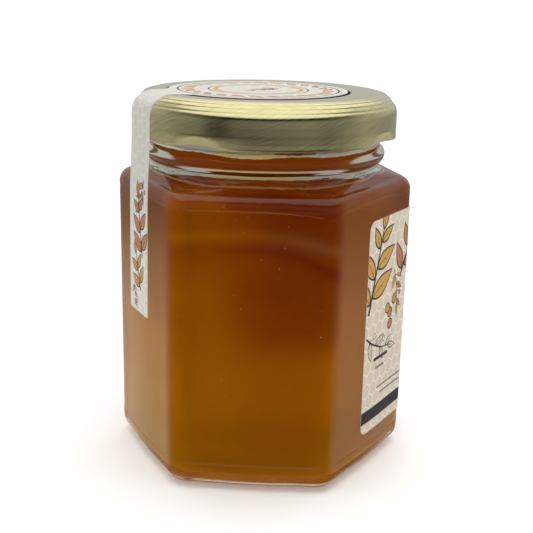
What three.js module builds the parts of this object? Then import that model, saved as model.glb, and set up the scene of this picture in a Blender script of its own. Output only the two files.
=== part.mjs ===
// Honey jar: a six-sided glass jar with a round neck, filled with honey, closed by a gold
// twist-off lid, with a paper seal over the lid and a paper label round three of its faces.
// Millimetres, +Z up. The origin is the middle of the base. Corners lie on X, the front face looks along -Y.
import * as THREE from 'three';

// ---- driving dimensions -------------------------------------------------------------
const APOTHEM = 30.4;          // from the axis to a face, beside its corners
const CORNER_R = 4.5;          // rounding of the six upright corners
const BULGE = 0.5;             // how far a face swells at its middle
const HEEL_R = 4.5;            // rounding between wall and base
const FILLET_R = 2.6;          // rounding between wall and shoulder
const FILLET_Z = 65.0;         // where that rounding starts on a face
const EDGE_SAG = 0.195;        // the wall's upper end drops towards the corners by this share of the radius
const SHOULDER_SAG = 0.06;     // and the shoulder's outer end by this
const SHOULDER_ARC = 73;       // degrees of the rounding that are used
const WALL = 2.4;              // glass
const NECK_FOOT_R = 26.9, NECK_FOOT_Z = 69.3;
const GROOVE_R = 26.25, GROOVE_Z = 70.1;
const BEAD_R = 27.9, BEAD_Z = 72.7;
const NECK_R = 26.4, NECK_BORE = 24.0;
const RIM_Z = 84.6;
const FLOOR_Z = 2.8;           // inside of the base at the heel
const PUNT = 0.7;              // how far the base is pushed up in its middle
const GAP = 0.3;               // clearance between neighbouring pieces
const HONEY_Z = 79.4;          // level of the honey, behind the lid's skirt

const LID_R = 30.25, LID_BOTTOM_Z = 76.5, LID_TOP_Z = 86.3;
const LID_PANEL_R = 26.5;      // raised middle of the lid
const LID_WALL = 0.6;
const LUGS = [-115, -25, 65, 155];  // degrees
const LUG_DEPTH = 1.1, LUG_HALF = 16;

const SEAL_DIR = 210;          // the seal's strip comes down over this face, degrees
const SEAL_DISC_R = 20.5, SEAL_DISC_AT = 1.9;
const STRIP_W = 12.6, STRIP_SHIFT = 0.3, STRIP_END_Z = 36.2;
const STRIP_LID = LID_R + GAP;               // inner side of the strip beside the lid
const STRIP_FACE = APOTHEM + BULGE + GAP;    // and on the glass
const STRIP_RISE = [                         // how the strip follows the lid's edge, before the clearance: distance, height, slope
  [26.3, 86.3, 90], [27.3, 85.95, 72], [28.4, 85.5, 62], [29.3, 84.95, 50], [29.95, 84.25, 36], [30.25, 83.35, 14], [LID_R, 82.4, 0],
];
const PAPER = 0.3;

const LABEL_Z0 = 9.2, LABEL_Z1 = 60.2, LABEL_CORNER = 2.2;
const LABEL_START = -4.3;      // from the middle of the right-hand face (-30 degrees)

// ---- section: a six-sided outline with rounded corners, which turns into a circle as its corner radius grows
const DEG = Math.PI / 180;
const STEPS = [-20, -11, -3.9, -1.9, 0, 1.9, 3.9, 11, 20, 30];
const ANGLES = [];
for (let k = 0; k < 6; k++) for (const s of STEPS) ANGLES.push((60 * k + s) * DEG);

function radius(theta, a, rc, bulge) {
  let t = theta / DEG;
  t = Math.abs(t - 60 * Math.round(t / 60)) * DEG;           // from the nearest corner, 0 to 30 degrees
  const ci = (a - rc) / Math.cos(30 * DEG);
  if (ci < 1e-6) return rc;
  const touch = Math.atan2(rc * Math.sin(30 * DEG), ci + rc * Math.cos(30 * DEG));
  if (t <= touch) return ci * Math.cos(t) + Math.sqrt(rc * rc - (ci * Math.sin(t)) ** 2);
  const u = Math.tan(30 * DEG - t) / Math.tan(30 * DEG - touch);
  return (a + bulge * (1 - u * u) ** 2) / Math.cos(30 * DEG - t);
}

function ring({ a, rc = a, bulge = 0, z, sag = 0 }, angles = ANGLES, dent = () => 0) {
  return angles.map((t) => {
    const r = radius(t, a, rc, bulge) - dent(t);
    return [r * Math.cos(t), r * Math.sin(t), z - sag * (radius(t, a, rc, bulge) - a)];
  });
}

// A closed surface through rings, from a point on the axis to a point on the axis.
function loft(z0, rings, z1) {
  const n = rings[0].length, pos = [0, 0, z0], index = [];
  for (const r of rings) for (const p of r) pos.push(...p);
  pos.push(0, 0, z1);
  const last = 1 + n * rings.length;
  for (let j = 0; j < n; j++) {
    const k = (j + 1) % n;
    index.push(0, 1 + k, 1 + j);
    for (let i = 0; i + 1 < rings.length; i++) {
      const a = 1 + i * n + j, b = 1 + i * n + k, c = a + n, d = b + n;
      index.push(a, b, d, a, d, c);
    }
    index.push(last, last - n + j, last - n + k);
  }
  const g = new THREE.BufferGeometry();
  g.setAttribute('position', new THREE.Float32BufferAttribute(pos, 3));
  g.setIndex(index);
  g.computeVertexNormals();
  return g;
}

// A closed sheet: stations along a path, each with a point, an outward normal, an across direction and two limits across.
function sheet(stations, thickness) {
  const pos = [], index = [];
  for (const { p, n, w, lo, hi } of stations) {
    for (const [off, s] of [[0, lo], [0, hi], [thickness, hi], [thickness, lo]]) {
      pos.push(p[0] + n[0] * off + w[0] * s, p[1] + n[1] * off + w[1] * s, p[2] + n[2] * off + w[2] * s);
    }
  }
  const m = stations.length;
  for (let i = 0; i + 1 < m; i++) {
    for (let e = 0; e < 4; e++) {
      const a = 4 * i + e, b = 4 * i + (e + 1) % 4, c = a + 4, d = b + 4;
      index.push(a, c, d, a, d, b);
    }
  }
  index.push(0, 1, 2, 0, 2, 3);
  const q = 4 * (m - 1);
  index.push(q, q + 2, q + 1, q, q + 3, q + 2);
  const g = new THREE.BufferGeometry();
  g.setAttribute('position', new THREE.Float32BufferAttribute(pos, 3));
  g.setIndex(index);
  // Turn the faces out if the path ran the other way.
  let v = 0;
  const P = (i) => new THREE.Vector3(pos[3 * i], pos[3 * i + 1], pos[3 * i + 2]);
  for (let i = 0; i < index.length; i += 3) v += P(index[i]).dot(P(index[i + 1]).cross(P(index[i + 2])));
  if (v < 0) for (let i = 0; i < index.length; i += 3) [index[i + 1], index[i + 2]] = [index[i + 2], index[i + 1]];
  g.setIndex(index);
  g.computeVertexNormals();
  return g;
}

const lerp = (a, b, t) => a + (b - a) * t;

// ---- glass jar ----------------------------------------------------------------------
// The body's outside at a given inset from its walls.
const body = (inset, z, sag = 0) => ({ a: APOTHEM - inset, rc: CORNER_R - inset * 0.55, bulge: BULGE, z, sag });
// The wall's inside, drawn in by a further clearance for the honey.
const bore = (inset, z, gap, sag = 0) => ({
  a: APOTHEM - WALL - inset - gap, rc: CORNER_R - 1.2 - inset * 0.5, bulge: BULGE, z, sag,
});

function outside() {
  const rows = [];
  rows.push({ a: 10, rc: 10, z: PUNT }, { a: 21, rc: 8, z: 0.35 }, { a: 22, rc: 6, z: 0 });
  for (const deg of [0, 30, 60, 90]) {
    const s = Math.sin(deg * DEG), c = Math.cos(deg * DEG);
    rows.push(body(HEEL_R * (1 - s), HEEL_R * (1 - c)));
  }
  for (const deg of [0, 25, 50, SHOULDER_ARC]) {
    const s = Math.sin(deg * DEG), c = Math.cos(deg * DEG);
    rows.push(body(FILLET_R * (1 - c), FILLET_Z + FILLET_R * s, lerp(EDGE_SAG, SHOULDER_SAG, deg / SHOULDER_ARC)));
  }
  const edge = rows[rows.length - 1];
  for (const t of [0.35, 0.7]) {
    rows.push({
      a: lerp(edge.a, NECK_FOOT_R, t), rc: lerp(edge.rc, NECK_FOOT_R, t), bulge: BULGE * (1 - t),
      z: lerp(edge.z, NECK_FOOT_Z, t ** 1.15), sag: SHOULDER_SAG * (1 - t),
    });
  }
  const round = (r, z) => rows.push({ a: r, z });
  round(NECK_FOOT_R, NECK_FOOT_Z);
  round(GROOVE_R + 0.12, NECK_FOOT_Z + 0.45);
  round(GROOVE_R, GROOVE_Z);
  round(GROOVE_R + 0.5, GROOVE_Z + 0.65);
  round(BEAD_R - 0.3, BEAD_Z - 0.9);
  round(BEAD_R, BEAD_Z);
  round(BEAD_R - 0.3, BEAD_Z + 0.9);
  round(NECK_R + 0.35, BEAD_Z + 1.9);
  round(NECK_R, BEAD_Z + 2.8);
  round(NECK_R, RIM_Z - 0.9);
  round(NECK_R - 0.9, RIM_Z);
  round(NECK_BORE + 0.7, RIM_Z);
  return rows;
}

// From the mouth down to the floor, or from the honey's surface down with gap > 0.
function inside(gap, top) {
  const rows = [];
  const round = (r, z) => rows.push({ a: r - gap, z });
  if (top > RIM_Z - 1) { round(NECK_BORE, RIM_Z - 0.7); } else { round(NECK_BORE, top); }
  round(NECK_BORE, 71.2);
  const zf = FILLET_Z - 1.2, r = 3.0;
  rows.push({ a: 25.6 - gap, rc: 16, bulge: 0.1, z: 68.3 - gap, sag: 0.05 });
  for (const deg of [70, 35, 0]) {
    const s = Math.sin(deg * DEG), c = Math.cos(deg * DEG);
    rows.push(bore(r * (1 - c), zf + (r - gap * 0.5) * s - gap * 0.5, gap, EDGE_SAG));
  }
  const h = 3.4;
  for (const deg of [90, 55, 25, 0]) {
    const s = Math.sin(deg * DEG), c = Math.cos(deg * DEG);
    rows.push(bore(h * (1 - s), FLOOR_Z + gap + h * (1 - c), gap));
  }
  rows.push({ a: 14 - gap, rc: 10, z: FLOOR_Z + gap + PUNT * 0.8 });
  return rows;
}

function glassJar() {
  const rings = [...outside(), ...inside(0, RIM_Z)].map((r) => ring(r));
  return loft(PUNT + 0.3, rings, FLOOR_Z + PUNT);
}

function honeyBody() {
  const rings = inside(GAP, HONEY_Z).map((r) => ring(r)).reverse();
  return loft(FLOOR_Z + GAP + PUNT, rings, HONEY_Z);
}

// ---- lid ----------------------------------------------------------------------------
function lidBody() {
  const angles = ANGLES;
  // Four lugs press the skirt's lower edge inwards.
  const dentAt = (share) => (t) => {
    let d = 0;
    for (const lug of LUGS) {
      let x = t / DEG - lug;
      x = Math.abs(x - 360 * Math.round(x / 360)) / LUG_HALF;
      if (x < 1) d = Math.max(d, LUG_DEPTH * share * Math.cos(x * Math.PI / 2) ** 2);
    }
    return d;
  };
  const rows = [
    // outside, from the lower edge to the middle of the top; r, z, share of the lug's dent
    [LID_R - 0.35, LID_BOTTOM_Z, 1], [LID_R, LID_BOTTOM_Z + 0.45, 0.9], [LID_R, LID_BOTTOM_Z + 2.6, 0],
    [LID_R, 82.6, 0], [LID_R - 0.15, 83.6, 0], [LID_R - 0.6, 84.4, 0], [LID_R - 1.3, 84.95, 0],
    [28.2, 85.45, 0], [27.3, 85.6, 0], [LID_PANEL_R + 0.15, 85.95, 0], [LID_PANEL_R - 0.3, LID_TOP_Z, 0],
  ];
  const inner = [
    [LID_R - 0.95, LID_BOTTOM_Z, 1], [LID_R - 1.0, LID_BOTTOM_Z + 0.7, 0.9], [LID_R - LID_WALL, LID_BOTTOM_Z + 2.9, 0],
    [LID_R - LID_WALL, 82.9, 0], [LID_R - 1.5, 84.3, 0], [27.0, 84.95, 0], [LID_PANEL_R - 0.6, LID_TOP_Z - LID_WALL - 0.1, 0],
  ].reverse();
  const make = ([r, z, s]) => ring({ a: r, z }, angles, dentAt(s));
  return loft(LID_TOP_Z - LID_WALL, [...inner.map(make), ...rows.map(make)], LID_TOP_Z);
}

// ---- paper seal: a disc on the lid, with a strip that bends over the lid's edge and comes down on the left face
function sealBody() {
  const dir = [Math.cos(SEAL_DIR * DEG), Math.sin(SEAL_DIR * DEG)];
  const w = [-dir[1], dir[0], 0];
  const top = LID_TOP_Z + GAP;
  const stations = [];
  const put = (d, z, nd, nz, half, shift = STRIP_SHIFT) => stations.push({
    p: [dir[0] * d, dir[1] * d, z], n: [dir[0] * nd, dir[1] * nd, nz], w, lo: -half + shift, hi: half + shift,
  });
  const join = Math.acos(STRIP_W / 2 / SEAL_DISC_R);
  const steps = 16;
  for (let i = 0; i <= steps; i++) {
    const a = lerp(-88 * DEG, join, i / steps);
    put(SEAL_DISC_AT + SEAL_DISC_R * Math.sin(a), top, 0, 1, SEAL_DISC_R * Math.cos(a), STRIP_SHIFT * i / steps);
  }
  for (const [d, z, slope] of STRIP_RISE) {
    const nd = Math.cos(slope * DEG), nz = Math.sin(slope * DEG);
    put(d + GAP * nd, z + GAP * nz, nd, nz, STRIP_W / 2);
  }
  put(STRIP_LID, LID_BOTTOM_Z - 0.5, 1, 0, STRIP_W / 2);
  put(STRIP_FACE, FILLET_Z + 0.5, 1, 0, STRIP_W / 2);
  put(STRIP_FACE, STRIP_END_Z, 1, 0, STRIP_W / 2);
  return sheet(stations, PAPER);
}

// ---- wrap label: from the right-hand face over the next one to the third -----------------
function labelBody() {
  const outline = [];
  const step = (t) => {
    const at = (x) => { const r = radius(x, APOTHEM, CORNER_R, BULGE); return [r * Math.cos(x), r * Math.sin(x)]; };
    const p = at(t), q = at(t + 1e-4);
    const d = Math.hypot(q[0] - p[0], q[1] - p[1]);
    const n = [(q[1] - p[1]) / d, -(q[0] - p[0]) / d];
    return { p: [p[0] + n[0] * GAP, p[1] + n[1] * GAP, 0], n: [n[0], n[1], 0], w: [0, 0, 1] };
  };
  const start = -30 * DEG + Math.atan2(LABEL_START, APOTHEM + BULGE), end = 60 * DEG - start;
  const turn = (u) => Math.sqrt(LABEL_CORNER ** 2 - (LABEL_CORNER - u) ** 2);   // rounded corner, u from the end
  const ease = [0.05, 0.3, 0.8, 1.4, LABEL_CORNER];
  const list = [];
  for (const u of ease) list.push([start + u / 31, LABEL_CORNER - turn(u)]);
  for (const k of [0, 1]) {
    if (k) for (const s of [-20, -10, 0, 10, 20]) list.push([(30 + s) * DEG, 0]);
    if (!k) for (const s of [-22, -12]) list.push([s * DEG, 0]);
    for (const s of [-4.2, -2.1, 0, 2.1, 4.2]) list.push([(60 * k + s) * DEG, 0]);
    if (k) for (const s of [72, 82]) list.push([s * DEG, 0]);
  }
  for (const u of [...ease].reverse()) list.push([end - u / 31, LABEL_CORNER - turn(u)]);
  for (const [t, cut] of list) outline.push({ ...step(t), lo: LABEL_Z0 + cut, hi: LABEL_Z1 - cut });
  return sheet(outline, PAPER);
}

// ---- scene graph ---------------------------------------------------------------------
const group = new THREE.Group();
function add(name, geometry, color, roughness, metalness, extra = {}) {
  const mesh = new THREE.Mesh(geometry, new THREE.MeshStandardMaterial({ color, roughness, metalness, ...extra }));
  mesh.name = name;
  group.add(mesh);
}
add('glass_jar', glassJar(), 0xe8eeea, 0.05, 0.0, { transparent: true, opacity: 0.35 });
add('honey', honeyBody(), 0x8a4a08, 0.1, 0.0);
add('lid', lidBody(), 0xc9b36a, 0.3, 1.0);
add('seal_label', sealBody(), 0xdcd8cd, 0.7, 0.0);
add('body_label', labelBody(), 0xcfc0ab, 0.7, 0.0);

export default group;
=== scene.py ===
# A small six-sided jar of honey with a gold twist-off lid, a paper seal over the lid and a
# wrap-around paper label, on a plain pale floor in soft studio light.
import math
import random

import bpy
import numpy as np
from mathutils import Matrix, Vector, noise
from mathutils.geometry import delaunay_2d_cdt


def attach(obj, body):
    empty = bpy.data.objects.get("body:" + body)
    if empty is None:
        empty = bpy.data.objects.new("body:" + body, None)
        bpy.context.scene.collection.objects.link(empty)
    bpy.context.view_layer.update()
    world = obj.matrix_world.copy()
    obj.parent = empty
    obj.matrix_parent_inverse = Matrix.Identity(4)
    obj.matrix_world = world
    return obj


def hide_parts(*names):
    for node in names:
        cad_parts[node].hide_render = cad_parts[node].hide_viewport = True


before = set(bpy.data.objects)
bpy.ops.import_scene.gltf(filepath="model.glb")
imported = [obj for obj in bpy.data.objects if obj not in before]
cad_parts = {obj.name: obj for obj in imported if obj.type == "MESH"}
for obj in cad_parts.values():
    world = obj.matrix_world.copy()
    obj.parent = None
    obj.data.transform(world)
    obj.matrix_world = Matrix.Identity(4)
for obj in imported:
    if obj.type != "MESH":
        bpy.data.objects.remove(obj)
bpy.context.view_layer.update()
random.seed(7)
DEG = math.pi / 180

# ------------------------------------------------------------------ camera
CAM_AT = (0.013754, -0.226055, 0.108025)
PAN, TILT, ROLL = 3.21815 * DEG, 15.79254 * DEG, 1.24427 * DEG
look = Vector((-math.sin(PAN) * math.cos(TILT), math.cos(PAN) * math.cos(TILT), -math.sin(TILT)))
right0 = Vector((math.cos(PAN), math.sin(PAN), 0))
up0 = right0.cross(look)
right = math.cos(ROLL) * right0 + math.sin(ROLL) * up0
up = -math.sin(ROLL) * right0 + math.cos(ROLL) * up0
cam_data = bpy.data.cameras.new("camera")
cam_data.sensor_width = 36
cam_data.lens = 36 * 971.685 / 533
cam_data.clip_start, cam_data.clip_end = 0.01, 50
cam = bpy.data.objects.new("camera", cam_data)
cam.matrix_world = Matrix((
    (right.x, up.x, -look.x, CAM_AT[0]),
    (right.y, up.y, -look.y, CAM_AT[1]),
    (right.z, up.z, -look.z, CAM_AT[2]),
    (0, 0, 0, 1),
))
bpy.context.scene.collection.objects.link(cam)
bpy.context.scene.camera = cam

# ------------------------------------------------------------------ sizes, in millimetres
APOTHEM, CORNER_R, BULGE = 30.4, 4.5, 0.5
HEEL_R, FILLET_R, FILLET_Z = 4.5, 2.6, 65.0
EDGE_SAG, SHOULDER_SAG, SHOULDER_ARC = 0.195, 0.06, 73
WALL, FLOOR_Z, PUNT = 2.4, 2.8, 0.7
NECK_FOOT_R, NECK_FOOT_Z = 26.9, 69.3
GROOVE_R, GROOVE_Z = 26.25, 70.1
BEAD_R, BEAD_Z = 27.9, 72.7
NECK_R, NECK_BORE, RIM_Z = 26.4, 24.0, 84.6
HONEY_Z = 79.4
LID_R, LID_BOTTOM_Z, LID_TOP_Z, LID_PANEL_R = 30.25, 76.5, 86.3, 26.5
LUGS, LUG_DEPTH, LUG_HALF = (-115, -25, 65, 155), 1.1, 16
SEAL_DIR, SEAL_DISC_R, SEAL_DISC_AT = 210, 20.5, 1.9
STRIP_HALF, STRIP_SHIFT, STRIP_END_Z, STRIP_SKEW = 5.75, 0.3, 36.2, 0.029
LABEL_Z0, LABEL_Z1, LABEL_CORNER, LABEL_START = 9.2, 60.2, 2.2, -4.3


# honey colours from low to high; the lighter low colours are painted light from below
HONEY_LOW, HONEY_MID, HONEY_TOP = (0.545, 0.192, 0.0022), (0.51, 0.150, 0.0018), (0.345, 0.064, 0.0014)
# ------------------------------------------------------------------ mesh helpers
def smooth_noise(p, scale, seed=0.0):
    """Soft noise in about -1..1 at a point in millimetres."""
    return noise.noise(Vector((p[0] / scale + seed, p[1] / scale - seed * 0.7, p[2] / scale + seed * 1.3)))


def make_piece(name, co_mm, faces, materials, replaces=None, face_mats=None, smooth=True):
    mesh = bpy.data.meshes.new(name)
    mesh.from_pydata([tuple(float(c) * 0.001 for c in p) for p in co_mm], [], [tuple(int(i) for i in f) for f in faces])
    for m in materials:
        mesh.materials.append(m)
    if face_mats is not None:
        mesh.polygons.foreach_set("material_index", np.asarray(face_mats, dtype=np.int32))
    mesh.polygons.foreach_set("use_smooth", np.full(len(faces), smooth, dtype=bool))
    mesh.update()
    ob = bpy.data.objects.new(name, mesh)
    bpy.context.scene.collection.objects.link(ob)
    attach(ob, "root")
    if replaces:
        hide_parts(replaces)
    return ob


def hex_radius(theta, a, rc, bulge):
    """Distance from the axis to a six-sided outline with rounded corners; a circle once rc reaches a."""
    t = theta / DEG
    t = np.abs(t - 60 * np.round(t / 60)) * DEG
    ci = (a - rc) / math.cos(30 * DEG)
    if ci < 1e-6:
        return np.full_like(theta, rc)
    touch = math.atan2(rc * math.sin(30 * DEG), ci + rc * math.cos(30 * DEG))
    corner = ci * np.cos(t) + np.sqrt(np.maximum(rc * rc - (ci * np.sin(t)) ** 2, 0))
    u = np.tan(30 * DEG - t) / math.tan(30 * DEG - touch)
    face = (a + bulge * (1 - np.minimum(u * u, 1)) ** 2) / np.cos(30 * DEG - t)
    return np.where(t <= touch, corner, face)


def column_angles():
    """Angles round the jar, closer together at the upright corners."""
    half = np.concatenate([np.linspace(0, 4.4, 12)[:-1], np.linspace(4.4, 7.4, 7)[:-1], np.linspace(7.4, 30, 11)])
    one = np.concatenate([-half[::-1][:-1], half])[:-1] + 30
    return np.concatenate([(60 * k + one) for k in range(6)]) * DEG


def lofted(rings, close_start=None, close_end=None):
    """Faces of a closed loft; rings is (m, n, 3). Returns points and faces, with points on the axis at the two ends."""
    m, n, _ = rings.shape
    co = [tuple(p) for p in rings.reshape(-1, 3)]
    i = np.arange(m - 1)[:, None] * n
    j = np.arange(n)[None, :]
    k = (j + 1) % n
    quads = np.stack([i + j, i + k, i + n + k, i + n + j], -1).reshape(-1, 4)
    faces = [tuple(q) for q in quads]
    if close_start is not None:
        c = len(co)
        co.append(close_start)
        faces += [(c, (a + 1) % n, a) for a in range(n)]
    if close_end is not None:
        c = len(co)
        co.append(close_end)
        b = (m - 1) * n
        faces += [(c, b + a, b + (a + 1) % n) for a in range(n)]
    return co, faces


def hermite(points, per):
    """Points of a smooth curve through rows of numbers (Catmull-Rom), per steps between two rows."""
    p = np.asarray(points, float)
    p = np.vstack([2 * p[0] - p[1], p, 2 * p[-1] - p[-2]])
    out = []
    for i in range(1, len(p) - 2):
        for s in range(per):
            t = s / per
            a, b, c, d = p[i - 1], p[i], p[i + 1], p[i + 2]
            out.append(0.5 * (2 * b + (c - a) * t + (2 * a - 5 * b + 4 * c - d) * t * t + (3 * b - a - 3 * c + d) * t ** 3))
    out.append(p[-2])
    return np.array(out)


# ------------------------------------------------------------------ node helpers
def new_material(name):
    m = bpy.data.materials.new(name)
    m.use_nodes = True
    nt = m.node_tree
    nt.nodes.clear()
    out = nt.nodes.new("ShaderNodeOutputMaterial")
    bsdf = nt.nodes.new("ShaderNodeBsdfPrincipled")
    nt.links.new(bsdf.outputs[0], out.inputs["Surface"])
    return m, nt, bsdf, out


def node(nt, kind, inputs=None, **props):
    n = nt.nodes.new(kind)
    for k, v in props.items():
        setattr(n, k, v)
    for k, v in (inputs or {}).items():
        sock = n.inputs[k]
        if isinstance(v, bpy.types.NodeSocket):
            nt.links.new(v, sock)
        else:
            sock.default_value = v
    return n


def math_node(nt, op, a, b=None, c=None, clamp=False):
    n = nt.nodes.new("ShaderNodeMath")
    n.operation = op
    n.use_clamp = clamp
    for i, v in enumerate((a, b, c)):
        if v is None:
            continue
        if isinstance(v, bpy.types.NodeSocket):
            nt.links.new(v, n.inputs[i])
        else:
            n.inputs[i].default_value = v
    return n.outputs[0]


def mix_colour(nt, fac, a, b, blend="MIX"):
    n = nt.nodes.new("ShaderNodeMix")
    n.data_type = "RGBA"
    n.blend_type = blend
    for sock, v in ((n.inputs[0], fac), (n.inputs[6], a), (n.inputs[7], b)):
        if isinstance(v, bpy.types.NodeSocket):
            nt.links.new(v, sock)
        elif isinstance(v, (int, float)):
            sock.default_value = v
        else:
            sock.default_value = (*v, 1) if len(v) == 3 else v
    return n.outputs[2]


def ramp(nt, fac, stops, interpolation="LINEAR"):
    n = nt.nodes.new("ShaderNodeValToRGB")
    n.color_ramp.interpolation = interpolation
    el = n.color_ramp.elements
    while len(el) < len(stops):
        el.new(0.5)
    for e, (pos, c) in zip(el, stops):
        e.position = pos
        e.color = (c, c, c, 1) if isinstance(c, (int, float)) else (*c, 1)
    nt.links.new(fac, n.inputs[0])
    return n.outputs[0]


def lin(r, g, b):
    """sRGB 0-255 to linear."""
    def f(v):
        v /= 255
        return v / 12.92 if v <= 0.04045 else ((v + 0.055) / 1.055) ** 2.4
    return (f(r), f(g), f(b))


# ------------------------------------------------------------------ glass jar
COLS = column_angles()
NCOL = len(COLS)
FACE = np.round((COLS / DEG - 30) / 60).astype(int)          # index of the face that a column belongs to


def body_row(inset, z, sag=0.0):
    return [APOTHEM - inset, CORNER_R - inset * 0.55, BULGE, z, sag]


def outside_rows():
    rows = []
    for r in (1.5, 5, 9, 13, 17, 20):
        rows.append([r, r, 0, PUNT * (1 - (r / 21.8) ** 2) + 0.0, 0])
    rows += [[21.0, 9, 0, 0.12, 0], [21.8, 8, 0, 0.02, 0], [22.4, 6, 0, 0, 0], [24.5, 3.2, 0.1, 0, 0]]
    for deg in np.linspace(0, 90, 15):
        s, c = math.sin(deg * DEG), math.cos(deg * DEG)
        rows.append(body_row(HEEL_R * (1 - s), HEEL_R * (1 - c)))
    for z in np.linspace(4.9, 6.9, 9):
        rows.append(body_row(0, z))
    for z in np.linspace(7.6, 61.4, 30):
        rows.append(body_row(0, z, EDGE_SAG * ((z - 7.6) / (FILLET_Z - 7.6)) ** 6))
    for z in np.linspace(61.7, 65.0, 17):
        rows.append(body_row(0, z, EDGE_SAG * ((z - 7.6) / (FILLET_Z - 7.6)) ** 6))
    for deg in np.linspace(0, SHOULDER_ARC, 15)[1:]:
        s, c = math.sin(deg * DEG), math.cos(deg * DEG)
        k = deg / SHOULDER_ARC
        rows.append([APOTHEM - FILLET_R * (1 - c), CORNER_R - FILLET_R * (1 - c) * 0.55, BULGE, FILLET_Z + FILLET_R * s,
                     EDGE_SAG + (SHOULDER_SAG - EDGE_SAG) * k])
    edge = rows[-1]
    for t in np.linspace(0, 1, 17)[1:-1]:
        rows.append([edge[0] + (NECK_FOOT_R - edge[0]) * t, edge[1] + (NECK_FOOT_R - edge[1]) * t, BULGE * (1 - t),
                     edge[3] + (NECK_FOOT_Z - edge[3]) * t ** 1.15, SHOULDER_SAG * (1 - t)])
    neck = [
        (NECK_FOOT_R, NECK_FOOT_Z), (26.55, 69.55), (GROOVE_R + 0.03, 69.85), (GROOVE_R, 70.15), (26.4, 70.5),
        (26.85, 70.85), (27.4, 71.35), (27.75, 72.0), (BEAD_R, BEAD_Z), (27.78, 73.35), (27.45, 73.95), (27.0, 74.45),
        (26.65, 74.9), (26.45, 75.5), (NECK_R, 76.2), (NECK_R, 78.0),
    ]
    for r, z in hermite(neck, 3):
        rows.append([r, r, 0, z, 0])
    for r, z in ((NECK_R, 81), (NECK_R, RIM_Z - 0.9), (NECK_R - 0.12, RIM_Z - 0.45), (NECK_R - 0.45, RIM_Z - 0.12),
                 (NECK_R - 0.9, RIM_Z), (NECK_BORE + 0.7, RIM_Z), (NECK_BORE + 0.3, RIM_Z - 0.12),
                 (NECK_BORE + 0.05, RIM_Z - 0.5)):
        rows.append([r, r, 0, z, 0])
    return rows


def inside_rows(gap, top):
    """From the level top, down the bore to the floor, drawn in by gap."""
    rows = []
    for z in np.concatenate([np.linspace(top, 78.4, 4)[:-1], np.linspace(78.4, 71.2, 37)]):
        rows.append([NECK_BORE - gap, NECK_BORE - gap, 0, z, 0])
    zf, r = FILLET_Z - 1.2, 3.0
    arc = []
    for deg in (70, 35, 0):
        s, c = math.sin(deg * DEG), math.cos(deg * DEG)
        arc.append([APOTHEM - WALL - r * (1 - c) - gap, CORNER_R - 1.2 - r * (1 - c) * 0.5, BULGE,
                    zf + (r - gap * 0.5) * s - gap * 0.5, EDGE_SAG])
    shoulder = [[NECK_BORE - gap, NECK_BORE - gap, 0, 71.2, 0], [25.6 - gap, 16, 0.1, 68.3 - gap, 0.05]] + arc
    rows += [list(x) for x in hermite(shoulder, 12)[1:]]
    low = FLOOR_Z + gap
    for z in np.linspace(zf - gap * 0.5, low + 3.4, 14)[1:-1]:
        rows.append([APOTHEM - WALL - gap, CORNER_R - 1.2, BULGE, z, EDGE_SAG * ((z - 6) / (zf - 6)) ** 6])
    for deg in np.linspace(90, 0, 13):
        s, c = math.sin(deg * DEG), math.cos(deg * DEG)
        rows.append([APOTHEM - WALL - 3.4 * (1 - s) - gap, CORNER_R - 1.2 - 3.4 * (1 - s) * 0.5, BULGE * s, low + 3.4 * (1 - c), 0])
    for t in (0.2, 0.4, 0.6, 0.8):
        rows.append([(APOTHEM - WALL - 3.4 - gap) * (1 - t) + 3 * t, (CORNER_R - 2.9) * (1 - t) + 3 * t, 0,
                     low + PUNT * (1 - (1 - t) ** 2), 0])
    return rows


def rings_from(rows):
    out = np.zeros((len(rows), NCOL, 3))
    for i, (a, rc, bulge, z, sag) in enumerate(rows):
        r = hex_radius(COLS, a, min(rc, a), bulge)
        out[i, :, 0], out[i, :, 1], out[i, :, 2] = r * np.cos(COLS), r * np.sin(COLS), z - sag * (r - a)
    return out


def face_line(p, face):
    """Depth of the fine pressed line that frames each face, at a point."""
    ang = (30 + 60 * face) * DEG
    s = -p[0] * math.sin(ang) + p[1] * math.cos(ang)
    half, z0, z1, r = 16.2, 6.0, 64.6, 2.5
    hx, hz = half - r, (z1 - z0) / 2 - r
    qx, qz = abs(s) - hx, abs(p[2] - (z0 + z1) / 2) - hz
    d = math.hypot(max(qx, 0), max(qz, 0)) + min(max(qx, qz), 0) - r
    return math.exp(-(d / 0.34) ** 2), d


def dress_outside(rings):
    """Fine lines and the slight unevenness of moulded glass."""
    m = rings.shape[0]
    for i in range(m):
        for j in range(NCOL):
            x, y, z = rings[i, j]
            rr = math.hypot(x, y)
            if rr < 20 or z < 0.3:
                continue
            nx, ny = x / rr, y / rr
            push = 0.0
            if 4 < z < 66.5 and rr > 28:
                line, d = face_line((x, y, z), FACE[j])
                push -= 0.09 * line
                push += 0.016 * smooth_noise((x, y, z), 13.0, 3.1)
            elif z >= 66.5 and z < 76:
                push += 0.03 * smooth_noise((x, y, z * 2.2), 7.0, 8.7)
            rings[i, j, 0] += nx * push
            rings[i, j, 1] += ny * push
    return rings


def dress_inside(rings, amount=1.0):
    """The inside of blown glass is less even, above all under the neck."""
    for i in range(rings.shape[0]):
        for j in range(NCOL):
            x, y, z = rings[i, j]
            rr = math.hypot(x, y)
            if rr < 15 or z > 80:
                continue
            k = 0.45 if 66 < z < 78 else 0.12
            push = amount * k * smooth_noise((x, y, z * 1.6), 8.0, 21.5)
            rings[i, j, 0] += x / rr * push
            rings[i, j, 1] += y / rr * push
    return rings


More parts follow.
